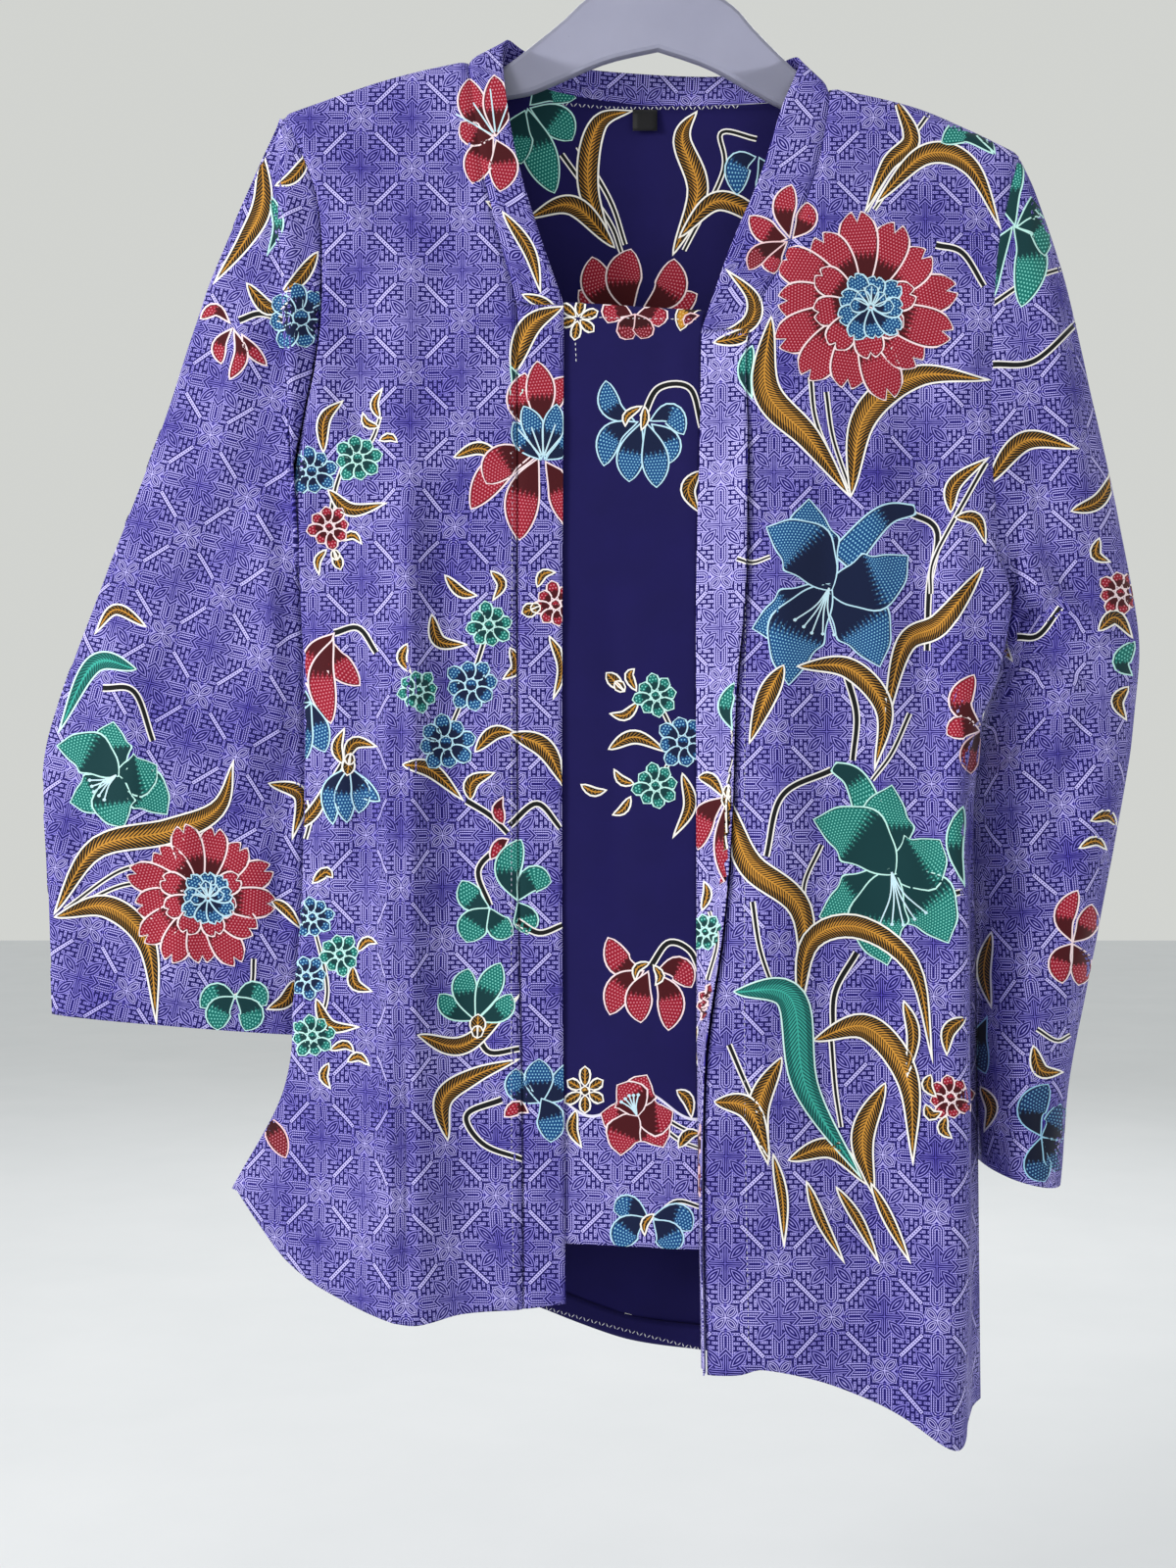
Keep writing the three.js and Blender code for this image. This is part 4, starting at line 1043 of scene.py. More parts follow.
class Drawing:
    """Draws motifs on one or more prints; places are in the photograph, sizes in mm."""

    def __init__(self, *prints, shift=(0.0, 0.0)):
        self.prints = prints
        self.shift = np.array(shift)

    def blade(self, ink_name, line, width, profile="leaf", frill=0.0):
        """A petal, leaf or stem along a line of places in mm."""
        line = [np.array(place) + self.shift for place in line]
        count = 24
        spine = spline_points(line, count)
        length = float(np.linalg.norm(np.diff(spine, axis=0), axis=1).sum())
        shares = np.linspace(0, 1, count)
        outline = PROFILES[profile]
        rows = max(4, round(length / STEP))
        columns = max(2, 2 * round(width / STEP / 2))

        def shape(side, share):
            end = tip_curve(profile, side)
            room = share * length if profile != "stem" else 9.0
            room = min(room, (1 - share) * length * end) if profile != "stem" else room
            share *= end
            centre = np.array([np.interp(share, shares, spine[:, k]) for k in (0, 1)])
            ahead = np.array([np.interp(min(1, share + 0.04), shares, spine[:, k]) for k in (0, 1)])
            behind = np.array([np.interp(max(0, share - 0.04), shares, spine[:, k]) for k in (0, 1)])
            run = ahead - behind
            run /= max(np.linalg.norm(run), 1e-9)
            half = width / 2 * outline(share)
            wave = 1 + frill * math.sin(share * 17) * abs(side)
            place = centre + np.array([-run[1], run[0]]) * side * half * wave
            rim = min((1 - abs(side)) * half, room + 0.15)
            return place, rim, share, side * half, share * length

        for sheet in self.prints:
            sheet.patch(ink_name, columns, rows, shape)

    def routes(self, ink_name, width, *routes, profile="petal"):
        """Petals along lines of places in the photograph, from foot to tip."""
        for route in routes:
            self.blade(ink_name, [spot(*place) for place in route], width, profile)

    def leaf(self, places, width, ink_name="ochre"):
        self.routes(ink_name, width, places, profile="leaf")

    def stem(self, *places, width=4.4):
        self.routes("black", width, places, profile="stem")

    def ray_petals(self, ink_name, centre, count, inner, outer, width, turn, profile="petal", bend=0.0,
                   fan=360.0, frill=0.0):
        """Petals round a centre in mm, over a fan of so many degrees."""
        whole = fan >= 360
        for k in range(count):
            part = k / count if whole else (k / (count - 1) - 0.5 if count > 1 else 0.0)
            angle = math.radians(turn + part * fan)
            uneven = 1 + 0.09 * math.sin(3.7 * k + centre[0])
            run = np.array([math.cos(angle), math.sin(angle)])
            side = np.array([-run[1], run[0]])
            foot = centre + run * inner
            tip = centre + run * outer * uneven + side * bend * outer
            middle = (foot + tip) / 2 + side * bend * outer * -0.25
            self.blade(ink_name, [foot, middle, tip], width, profile, frill)

    def disc(self, ink_name, centre, radius):
        up = np.array([0.0, radius])
        self.blade(ink_name, [centre - up, centre + up], 2 * radius, "disc")

    def daisy(self, px, py, radius, ink_name, petals=8, turn=10):
        centre = spot(px, py)
        self.ray_petals(ink_name, centre, petals, 0.18 * radius, radius, 0.62 * radius, turn, "round")
        self.disc(ink_name, centre, 0.27 * radius)

    def bloom(self, px, py, radius, ink_name="red", heart="blue", turn=0, petals=13):
        """A large full flower: lobed petals round a fan-shaped heart of another colour."""
        centre = spot(px, py)
        self.ray_petals(ink_name, centre, petals, 0.08 * radius, 0.98 * radius, 0.44 * radius, turn, "lobed",
                        bend=0.04)
        self.ray_petals(ink_name, centre, 6, 0.06 * radius, 0.56 * radius, 0.34 * radius, turn + 250, "lobed",
                        fan=230)
        middle = centre + np.array([0.1, -0.02]) * radius
        self.ray_petals(heart, middle, 9, 0.02 * radius, 0.38 * radius, 0.24 * radius, turn + 31, "lobed")
        self.ray_petals(heart, middle, 5, 0.02 * radius, 0.24 * radius, 0.17 * radius, turn + 80, "round",
                        fan=170)
        self.ray_petals("pale", middle, 7, 0.03 * radius, 0.23 * radius, 0.75, turn + 80, "stem", fan=130)

    def lily(self, centre, tips, width, ink_name, stamens):
        """An open trumpet flower: broad pointed petals that overlap, with stamens over them."""
        foot = spot(*centre)
        order = list(range(0, len(tips), 2)) + list(range(1, len(tips), 2))
        for k in order:
            end = spot(*tips[k])
            run = end - foot
            side = np.array([-run[1], run[0]])
            bend = 0.13 if k % 2 else -0.1
            middle = lerp(foot, end, 0.55) - side * bend
            line = [foot - 0.05 * run, middle, end + 0.04 * run]
            self.blade(ink_name, line, 1.2 * width, "pointed", frill=0.07)
        aim = spot(*stamens) - foot
        side = np.array([-aim[1], aim[0]])
        for spread in (-0.42, -0.2, 0.0, 0.22, 0.45):
            tip = foot + aim * (1 - 0.3 * abs(spread)) + side * spread
            self.blade("pale", [foot, lerp(foot, tip, 0.5) - side * spread * 0.2, tip], 0.9, "stem")
            self.disc("pale", tip, 1.0)

    def bud(self, foot, tip, width, ink_name="red"):
        start = spot(*foot)
        end = spot(*tip)
        self.blade(ink_name, [start, end], width, "petal")
        side = np.array([-(end - start)[1], (end - start)[0]]) * 0.12
        for hand in (-1, 1):
            self.blade("gold", [start, start + 0.3 * (end - start) + side * hand, lerp(start, end, 0.55)],
                       width * 0.42, "leaf")


# Motifs of the print. The places of their spines, tips and centres are in pixels of the photograph and were
# read off it, one motif after the other. Widths and sizes are in mm.
def draw_sleeve_right(d):
    d.stem((244, 327), (266, 320), (292, 328))
    d.leaf([(266, 149), (268, 206), (251, 244), (217, 291)], 12)
    d.leaf([(318, 154), (300, 180), (280, 190)], 8)
    d.leaf([(325, 256), (306, 284), (287, 299)], 9)
    d.leaf([(251, 288), (273, 314), (294, 309)], 9)
    d.routes("teal", 7, [(272, 262), (284, 230), (276, 199)])
    d.daisy(307, 324, 19, "blue")
    d.routes("red", 8, [(236, 331), (220, 316), (204, 326)], [(246, 340), (256, 356), (273, 374)])
    d.routes("red", 9, [(238, 334), (246, 362), (234, 388)], [(238, 334), (224, 352), (226, 372)])
    d.stem((105, 702), (137, 706), (156, 756))
    d.leaf([(140, 683), (96, 678), (59, 749)], 11, "teal_leaf")
    d.lily((119, 791), [(116, 738), (159, 781), (169, 830), (126, 843), (73, 818), (60, 762)], 21, "teal",
           (96, 808))
    d.stem((162, 880), (120, 890), (66, 928), width=3.2)
    d.stem((160, 900), (120, 905), (66, 932), width=3.2)
    d.leaf([(55, 934), (98, 866), (173, 848), (223, 824), (239, 774)], 15)
    d.leaf([(55, 936), (109, 925), (150, 963), (160, 1047)], 14)
    d.bloom(205, 915, 41, turn=20)
    d.stem((259, 978), (256, 1006), (237, 1018), width=3.2)
    d.routes("teal", 14, [(240, 1016), (222, 1014), (204, 1028)], [(240, 1016), (258, 1012), (272, 1026)])
    d.routes("teal", 15, [(240, 1016), (224, 1030), (222, 1052)], [(240, 1016), (256, 1032), (250, 1052)])
    d.leaf([(273, 799), (307, 812), (298, 858)], 9)
    d.leaf([(300, 999), (292, 1020), (271, 1030)], 9)
    d.leaf([(276, 918), (292, 928), (309, 950)], 7)
    d.leaf([(150, 640), (118, 622), (96, 648)], 7)


def draw_front_right(d):
    """Sprigs, bells and tulips on the front on the viewer's left."""
    d.stem((336, 538), (342, 500), (352, 470), width=3.2)
    d.stem((364, 468), (380, 448), (388, 425), width=3.0)
    d.leaf([(330, 463), (331, 428), (351, 408)], 8)
    d.leaf([(334, 499), (358, 520), (396, 513)], 8.5)
    d.leaf([(388, 428), (382, 412), (391, 395)], 5.5)
    d.leaf([(388, 436), (374, 432), (370, 420)], 5.5)
    d.leaf([(386, 450), (398, 446), (406, 452)], 5.5)
    d.leaf([(346, 552), (360, 546), (370, 556)], 5.5)
    d.bud((340, 560), (348, 582), 7, "ochre")
    d.leaf([(334, 560), (324, 572), (326, 588)], 5)
    d.daisy(318, 481, 14, "blue")
    d.daisy(365, 468, 13.5, "teal")
    d.daisy(336, 538, 12.5, "red")
    d.stem((341, 646), (366, 641), (384, 666))
    d.routes("red", 15, [(342, 645), (322, 670), (322, 712)], [(340, 655), (344, 676), (368, 700)])
    d.routes("red", 16, [(341, 650), (328, 690), (338, 739)])
    d.routes("blue", 15, [(318, 716), (298, 732), (292, 768)], [(318, 716), (322, 740), (332, 768)])
    d.routes("blue", 14, [(318, 716), (302, 712), (290, 738)], [(318, 716), (308, 745), (310, 778)])
    d.stem((350, 778), (322, 826), (312, 856), width=3.2)
    d.leaf([(352, 776), (362, 758), (386, 762)], 8)
    d.leaf([(350, 780), (344, 762), (352, 742)], 7)
    d.leaf([(282, 800), (306, 818), (302, 848), (284, 866)], 10)
    d.leaf([(300, 848), (322, 826), (338, 792)], 8)
    d.routes("blue", 11, [(356, 782), (338, 806), (340, 842)], [(356, 782), (366, 800), (389, 818)])
    d.routes("blue", 12, [(356, 782), (352, 810), (354, 840)], [(356, 782), (368, 806), (366, 830)])
    d.bud((358, 768), (354, 792), 8, "ochre")
    d.stem((319, 1057), (334, 1010), (318, 936), width=3.0)
    d.leaf([(318, 902), (332, 890), (340, 896)], 7)
    d.leaf([(360, 985), (362, 1004), (381, 1012)], 7.5)
    d.leaf([(364, 972), (374, 960), (386, 963)], 6)
    d.leaf([(322, 1018), (336, 1046), (368, 1048)], 8)
    d.leaf([(336, 1072), (352, 1066), (362, 1074)], 6)
    d.leaf([(354, 1084), (366, 1078), (378, 1088)], 6)
    d.leaf([(336, 1084), (330, 1098), (338, 1112)], 6)
    d.daisy(319, 936, 12, "blue")
    d.daisy(347, 974, 12, "teal")
    d.daisy(313, 997, 12.5, "blue")
    d.daisy(319, 1057, 12.5, "teal")
    d.leaf([(495, 205), (534, 226), (540, 262), (526, 296)], 12)
    d.leaf([(527, 296), (548, 296), (574, 300)], 6)
    d.leaf([(462, 467), (493, 458), (525, 486)], 8)
    d.stem((499, 638), (482, 690), (452, 760), width=3.2)
    d.stem((476, 817), (500, 832), (518, 850))
    d.leaf([(440, 626), (448, 654), (478, 658)], 8.5)
    d.leaf([(453, 586), (470, 604), (488, 608)], 7)
    d.leaf([(500, 582), (512, 596), (502, 614)], 6.5)
    d.leaf([(416, 656), (410, 672), (420, 688)], 6.5)
    d.leaf([(520, 660), (528, 680), (512, 694)], 8)
    d.leaf([(410, 780), (440, 786), (474, 818)], 9.5)
    d.leaf([(480, 817), (482, 798), (506, 788)], 9)
    d.leaf([(484, 768), (504, 748), (528, 748)], 9)
    d.daisy(499, 638, 13, "teal")
    d.daisy(427, 705, 12, "teal")
    d.daisy(481, 699, 15, "blue")
    d.daisy(455, 758, 16, "blue")
    d.stem((511, 862), (488, 888), (500, 924))
    d.routes("red", 8, [(514, 812), (508, 826), (514, 842)], [(520, 856), (510, 862), (500, 878)])
    d.stem((487, 1056), (500, 1074), (530, 1070))
    d.leaf([(425, 1056), (474, 1066), (532, 1014)], 11)
    d.routes("teal", 13, [(485, 1042), (462, 1030), (448, 1014)], [(485, 1042), (510, 1032), (522, 1014)])
    d.routes("teal", 15, [(485, 1042), (474, 1012), (478, 988)], [(485, 1042), (498, 1010), (511, 982)])
    d.bud((487, 1060), (488, 1034), 10, "ochre")
    d.leaf([(457, 1165), (452, 1122), (484, 1098), (532, 1080)], 12)
    d.stem((512, 1122), (476, 1138), (494, 1168), (538, 1184))
    d.routes("maroon", 12, [(262, 1132), (280, 1156), (292, 1182)])


def draw_right_band_motifs(d):
    """Motifs that run over the seam of the right front band."""
    d.leaf([(522, 384), (540, 334), (576, 312)], 13)
    d.routes("teal", 8, [(520, 372), (528, 392), (522, 408)])
    d.routes("red", 15, [(546, 440), (530, 412), (536, 380)], [(556, 438), (562, 408), (580, 384)])
    d.routes("red", 17, [(550, 440), (552, 404), (548, 368)])
    d.routes("red", 18, [(548, 466), (508, 480), (480, 520)], [(556, 470), (574, 500), (578, 536)])
    d.routes("red", 20, [(550, 466), (534, 504), (530, 552)], [(546, 462), (514, 470), (496, 494)])
    d.routes("blue", 12, [(552, 470), (536, 452), (524, 430)], [(556, 470), (574, 456), (582, 430)])
    d.routes("blue", 13, [(553, 470), (546, 440), (534, 414)], [(555, 470), (564, 440), (568, 412)])
    d.ray_petals("pale", spot(554, 468), 5, 2, 20, 0.9, 90, "stem", fan=80)
    d.leaf([(520, 748), (556, 764), (578, 806)], 12)
    d.stem((520, 842), (548, 820), (572, 845))
    d.daisy(567, 617, 13, "red")
    d.bud((552, 618), (532, 626), 9, "ochre")
    d.leaf([(548, 600), (554, 586), (568, 584)], 6)
    d.routes("teal", 15, [(500, 926), (482, 918), (471, 898)], [(500, 926), (508, 944), (524, 954)])
    d.routes("teal", 18, [(500, 926), (484, 942), (476, 962)])
    d.routes("teal", 16, [(528, 920), (518, 888), (532, 856)], [(528, 920), (542, 898), (563, 900)])
    d.routes("teal", 15, [(528, 920), (536, 936), (538, 954)])
    d.stem((528, 940), (550, 952), (574, 944))
    d.routes("blue", 15, [(552, 1126), (530, 1112), (526, 1090)], [(552, 1126), (572, 1110), (578, 1086)])
    d.routes("blue", 17, [(552, 1128), (550, 1104), (550, 1080)], [(552, 1120), (562, 1140), (562, 1166)])
    d.routes("red", 9, [(540, 1136), (528, 1130), (514, 1140)])
    d.leaf([(560, 648), (574, 680), (564, 715)], 7)


def draw_collar_right(d):
    """Half of a flower at the collar's outer edge, with long stamens."""
    d.routes("red", 17, [(506, 140), (484, 112), (478, 80)], [(506, 140), (508, 112), (504, 76)])
    d.routes("red", 17, [(504, 140), (490, 160), (482, 188)], [(506, 142), (514, 166), (510, 196)])
    d.routes("red", 14, [(504, 140), (484, 138), (470, 124)])
    d.ray_petals("pale", spot(506, 140), 4, 3, 25, 0.9, 110, "stem", fan=80)
    d.leaf([(512, 215), (540, 256), (552, 300)], 8)
    d.leaf([(532, 300), (560, 315), (572, 350)], 8)


def draw_collar_left(d):
    d.routes("red", 14, [(806, 244), (800, 214), (808, 188)], [(804, 244), (784, 238), (764, 220)])
    d.routes("red", 13, [(804, 246), (788, 262), (790, 280)], [(808, 244), (822, 226), (824, 206)])
    d.routes("maroon", 11, [(804, 246), (776, 258), (764, 276)])
    d.leaf([(727, 347), (764, 330), (768, 304), (740, 274)], 10)


def draw_band_left(d):
    d.leaf([(727, 350), (758, 342), (766, 322)], 9)
    d.leaf([(706, 470), (694, 492), (704, 516)], 8)
    d.leaf([(712, 793), (726, 796), (740, 815)], 8)
    d.routes("red", 15, [(742, 812), (718, 834), (712, 868)], [(744, 812), (758, 838), (764, 868)])
    d.routes("red", 16, [(743, 812), (742, 858), (746, 908)])
    d.bud((744, 800), (742, 826), 8, "ochre")
    d.stem((744, 800), (752, 770), (748, 745), width=3.2)
    d.stem((722, 1000), (732, 960), (724, 930), width=2.8)
    d.daisy(720, 951, 11, "teal")
    d.leaf([(716, 930), (722, 912), (718, 898)], 6)
    d.daisy(729, 1024, 11, "red")
    d.leaf([(712, 1046), (704, 1066), (712, 1088)], 7)
    d.routes("teal", 9, [(738, 1146), (726, 1182), (736, 1216)], [(748, 746), (740, 722), (750, 696)])
    d.routes("maroon", 8, [(714, 1146), (720, 1186), (714, 1222)])


def draw_front_left(d):
    """The two lilies, the full flower and the long leaves of the other front."""
    d.stem((947, 117), (914, 164), (884, 216), width=3.0)
    d.stem((960, 147), (924, 170), (892, 214), width=3.0)
    d.leaf([(912, 98), (930, 142), (906, 168), (882, 218)], 11)
    d.leaf([(893, 208), (944, 158), (990, 170), (1022, 236)], 13)
    d.routes("teal", 14, [(1014, 158), (986, 134), (960, 146)], [(1016, 158), (1000, 124), (1018, 118)])
    d.stem((955, 250), (982, 258), (1004, 292))
    d.stem((827, 385), (834, 434), (864, 502), width=3.2)
    d.stem((843, 400), (850, 447), (867, 498), width=3.2)
    d.leaf([(787, 322), (782, 398), (826, 448), (868, 508)], 17)
    d.leaf([(868, 508), (882, 426), (936, 384), (1012, 388)], 16)
    d.bloom(879, 312, 52, turn=8)
    d.routes("teal", 9, [(768, 408), (760, 380), (768, 352)])
    d.stem((925, 522), (956, 542), (948, 600), (946, 664))
    d.stem((752, 570), (768, 574), (786, 568), width=3.0)
    d.stem((1006, 472), (975, 528), (952, 574), (950, 606), width=3.2)
    d.routes("blue", 19, [(934, 520), (900, 528), (858, 574)], profile="flare")
    d.lily((846, 600), [(826, 512), (924, 568), (896, 678), (806, 696), (770, 640), (784, 540)], 28, "blue",
           (828, 646))
    d.leaf([(970, 524), (974, 494), (1010, 466)], 9)
    d.leaf([(974, 528), (996, 530), (1006, 556)], 8)
    d.leaf([(1004, 578), (960, 636), (922, 660), (900, 754)], 14)
    d.leaf([(800, 678), (782, 712), (764, 760)], 12)
    d.stem((864, 690), (874, 730), (870, 776))
    d.stem((928, 728), (910, 768), (890, 796), width=3.2)
    d.leaf([(812, 680), (866, 682), (902, 724), (892, 788)], 13)
    d.stem((848, 786), (798, 812), (782, 874))
    d.stem((930, 900), (956, 914), (982, 910))
    d.routes("teal", 20, [(850, 782), (874, 798), (894, 850)], profile="flare")
    d.lily((910, 890), [(910, 804), (958, 858), (966, 960), (906, 982), (838, 934), (832, 838)], 29, "teal",
           (922, 944))
    d.stem((838, 862), (820, 904), (824, 948), width=3.2)
    d.stem((768, 920), (776, 970), (794, 1022), width=3.4)
    d.leaf([(742, 812), (764, 880), (818, 932), (816, 1042)], 16)
    d.stem((874, 972), (852, 1012), (850, 1056))
    d.leaf([(814, 1036), (826, 962), (876, 946), (932, 988), (952, 1086)], 14)
    d.leaf([(922, 1020), (932, 1056), (924, 1104)], 8)
    d.stem((744, 1066), (762, 1108), (782, 1150), width=3.6)
    d.stem((848, 1060), (852, 1110), (858, 1150), width=3.4)
    d.leaf([(828, 1062), (884, 1048), (926, 1100), (932, 1190)], 16)
    d.leaf([(798, 1078), (774, 1130), (784, 1190)], 13)
    d.leaf([(728, 1124), (764, 1132), (786, 1184)], 13)
    d.leaf([(904, 1104), (880, 1160), (892, 1222)], 14)
    d.leaf([(803, 1184), (848, 1172), (886, 1210)], 12)
    d.leaf([(748, 1012), (806, 1018), (822, 1110), (880, 1204)], 18, "teal_leaf")
    d.leaf([(788, 1176), (798, 1222), (800, 1274)], 7)
    d.leaf([(822, 1204), (838, 1246), (862, 1290)], 7)
    d.leaf([(852, 1210), (876, 1246), (898, 1290)], 7)
    d.leaf([(888, 1206), (908, 1246), (930, 1290)], 7)
    d.daisy(970, 1120, 13, "red")
    d.leaf([(950, 1096), (946, 1108), (956, 1120)], 7)
    d.leaf([(944, 1126), (950, 1138), (962, 1134)], 7)
    d.leaf([(966, 1138), (962, 1152), (972, 1162)], 7)
    d.leaf([(986, 1038), (968, 1052), (966, 1078)], 9)
    d.routes("red", 14, [(1002, 744), (980, 718), (994, 688)], [(1000, 746), (982, 742), (966, 750)])
    d.routes("maroon", 12, [(1002, 744), (990, 766), (990, 790)])
    d.routes("teal", 10, [(984, 906), (974, 862), (982, 822)])


def draw_sleeve_left(d):
    d.stem((1013, 310), (1050, 286), (1090, 272), width=3.4)
    d.stem((1013, 372), (1056, 368), (1102, 326))
    d.routes("teal", 17, [(1036, 232), (1028, 192), (1040, 158)], [(1036, 232), (1066, 206), (1072, 226)])
    d.routes("teal", 19, [(1034, 230), (1052, 262), (1042, 314)], [(1034, 230), (1006, 276), (996, 328)])
    d.routes("teal", 13, [(1036, 232), (1060, 232), (1066, 262)])
    d.leaf([(1006, 496), (1046, 450), (1102, 458)], 12)
    d.leaf([(1092, 522), (1122, 510), (1140, 474)], 9)
    d.stem((1038, 650), (1060, 648), (1082, 620))
    d.leaf([(1028, 628), (1020, 652), (1034, 676)], 8)
    d.leaf([(1122, 548), (1118, 566), (1134, 574)], 7)
    d.daisy(1143, 605, 13, "red")
    d.leaf([(1120, 644), (1138, 630), (1156, 652)], 9)
    d.routes("teal", 11, [(1156, 690), (1144, 676), (1158, 654)])
    d.leaf([(1152, 700), (1140, 716), (1150, 736)], 8)
    d.leaf([(1112, 838), (1130, 832), (1140, 844)], 7)
    d.leaf([(1100, 866), (1118, 858), (1130, 868)], 6)
    d.routes("red", 13, [(1094, 962), (1086, 936), (1100, 908)], [(1094, 962), (1108, 946), (1114, 922)])
    d.routes("red", 14, [(1094, 962), (1082, 980), (1084, 1004)], [(1094, 962), (1104, 984), (1100, 1006)])
    d.leaf([(1054, 1066), (1062, 1092), (1086, 1094)], 9)
    d.stem((1058, 1050), (1078, 1062), (1092, 1056), width=3.0)
    d.routes("navy", 17, [(1062, 1160), (1052, 1134), (1070, 1106)],
             [(1062, 1160), (1078, 1150), (1082, 1126)])
    d.routes("navy", 16, [(1062, 1160), (1058, 1186), (1066, 1206)],
             [(1062, 1160), (1076, 1176), (1084, 1198)])
    d.leaf([(1012, 950), (1004, 990), (1012, 1030)], 9)
    d.routes("navy", 12, [(1008, 1036), (998, 1066), (1006, 1096)])
    d.leaf([(1000, 1108), (1012, 1130), (1004, 1156)], 8)


def draw_centre(d):
    d.ray_petals("ochre", spot(590, 325), 6, 1, 12, 6.5, 20, "round")
    d.routes("red", 14, [(646, 322), (628, 316), (620, 330)], [(648, 322), (668, 320), (672, 334)])
    d.routes("maroon", 13, [(648, 320), (640, 334), (646, 346)], [(648, 320), (656, 334), (654, 346)])
    d.routes("gold", 10, [(716, 314), (700, 318), (694, 338)])
    d.routes("maroon", 6, [(714, 322), (704, 324), (698, 332)])
    d.stem((656, 426), (672, 396), (704, 396), (716, 436))
    d.routes("blue", 13, [(650, 432), (624, 416), (618, 388)], [(662, 430), (684, 422), (698, 444)])
    d.routes("blue", 14, [(652, 430), (624, 444), (616, 476)], [(664, 432), (682, 450), (682, 474)])
    d.routes("blue", 16, [(655, 430), (644, 462), (642, 492)], [(659, 430), (668, 464), (670, 498)])
    d.leaf([(656, 414), (640, 424), (638, 436)], 5.5)
    d.leaf([(658, 414), (658, 428), (654, 440)], 5.5)
    d.leaf([(714, 480), (702, 500), (714, 524)], 9)
    d.stem((672, 716), (688, 758), (672, 800), width=3.0)
    d.leaf([(620, 765), (648, 752), (682, 768)], 8.5)
    d.leaf([(592, 800), (606, 808), (620, 806)], 6)
    d.leaf([(648, 800), (634, 796), (626, 784)], 6)
    d.leaf([(644, 812), (636, 826), (624, 832)], 6)
    d.leaf([(696, 788), (704, 822), (686, 856)], 8)
    d.leaf([(652, 716), (638, 730), (621, 728)], 6.5)
    d.leaf([(650, 706), (642, 690), (648, 682)], 6)
    d.bud((638, 706), (618, 686), 8, "ochre")
    d.daisy(669, 710, 12.5, "teal")
    d.daisy(697, 757, 15, "blue")
    d.daisy(669, 802, 13, "teal")
    d.stem((664, 986), (682, 962), (704, 970), (716, 996))
    d.routes("red", 15, [(656, 990), (634, 984), (620, 956)], [(670, 990), (692, 988), (706, 1008)])
    d.routes("red", 16, [(658, 990), (634, 1006), (622, 1036)], [(668, 992), (684, 1018), (682, 1052)])
    d.routes("red", 16, [(662, 990), (652, 1016), (654, 1044)])
    d.leaf([(664, 982), (650, 988), (648, 1002)], 5.5)
    d.leaf([(666, 984), (674, 996), (668, 1006)], 5.5)
    d.ray_petals("ochre", spot(597, 1113), 6, 2, 13, 7, 30, "round")
    d.disc("gold", spot(597, 1113), 3)
    d.leaf([(588, 1132), (584, 1152), (594, 1172)], 7)
    d.stem((680, 1142), (698, 1152), (716, 1158), width=3.0)
    d.stem((676, 1150), (694, 1164), (714, 1172), width=3.0)
    d.leaf([(690, 1112), (702, 1122), (706, 1142)], 7.5)
    d.leaf([(692, 1172), (702, 1158), (716, 1156)], 7.5)
    d.lily((650, 1138), [(660, 1098), (686, 1134), (676, 1170), (634, 1178), (614, 1136), (630, 1108)], 18,
           "red", (642, 1118))
    d.stem((668, 1244), (690, 1226), (716, 1232), width=3.4)
    d.routes("blue", 15, [(662, 1242), (642, 1232), (626, 1236)], [(664, 1242), (690, 1240), (706, 1256)])
    d.routes("blue", 17, [(660, 1242), (640, 1254), (632, 1276)], [(666, 1244), (682, 1260), (684, 1280)])
    d.leaf([(668, 1238), (658, 1248), (658, 1262)], 5.5)


def draw_back_inside(d):
    d.stem((573, 158), (620, 224), (634, 258), width=3.4)
    d.stem((590, 150), (622, 204), (638, 250), width=3.4)
    d.stem((772, 142), (736, 136), (738, 176), (698, 256), width=3.4)
    d.leaf([(622, 252), (600, 190), (610, 128), (648, 112)], 13)
    d.leaf([(628, 254), (584, 210), (536, 224)], 12)
    d.leaf([(686, 262), (712, 196), (696, 142), (712, 112)], 13)
    d.leaf([(692, 244), (730, 206), (768, 220), (774, 246)], 12)
    d.routes("teal", 19, [(540, 108), (562, 90), (588, 100)], [(540, 110), (566, 122), (584, 144)])
    d.routes("teal", 20, [(538, 110), (548, 150), (566, 198)], [(536, 112), (526, 140), (532, 168)])
    d.routes("blue", 15, [(772, 160), (754, 168), (752, 200)], [(774, 160), (784, 184), (780, 212)])
    d.routes("red", 16, [(630, 318), (612, 316), (590, 296)], [(660, 318), (684, 314), (712, 300)])
    d.routes("red", 19, [(636, 318), (612, 296), (604, 262)], [(654, 318), (682, 298), (688, 264)])
    d.routes("red", 21, [(645, 322), (636, 288), (644, 254)])
    d.routes("red", 8, [(584, 1338), (600, 1336), (612, 1346)], [(668, 1364), (684, 1360), (702, 1372)])
    d.leaf([(622, 1350), (640, 1346), (658, 1358)], 7)
    d.stem((560, 1328), (600, 1342), (640, 1356), width=2.4)


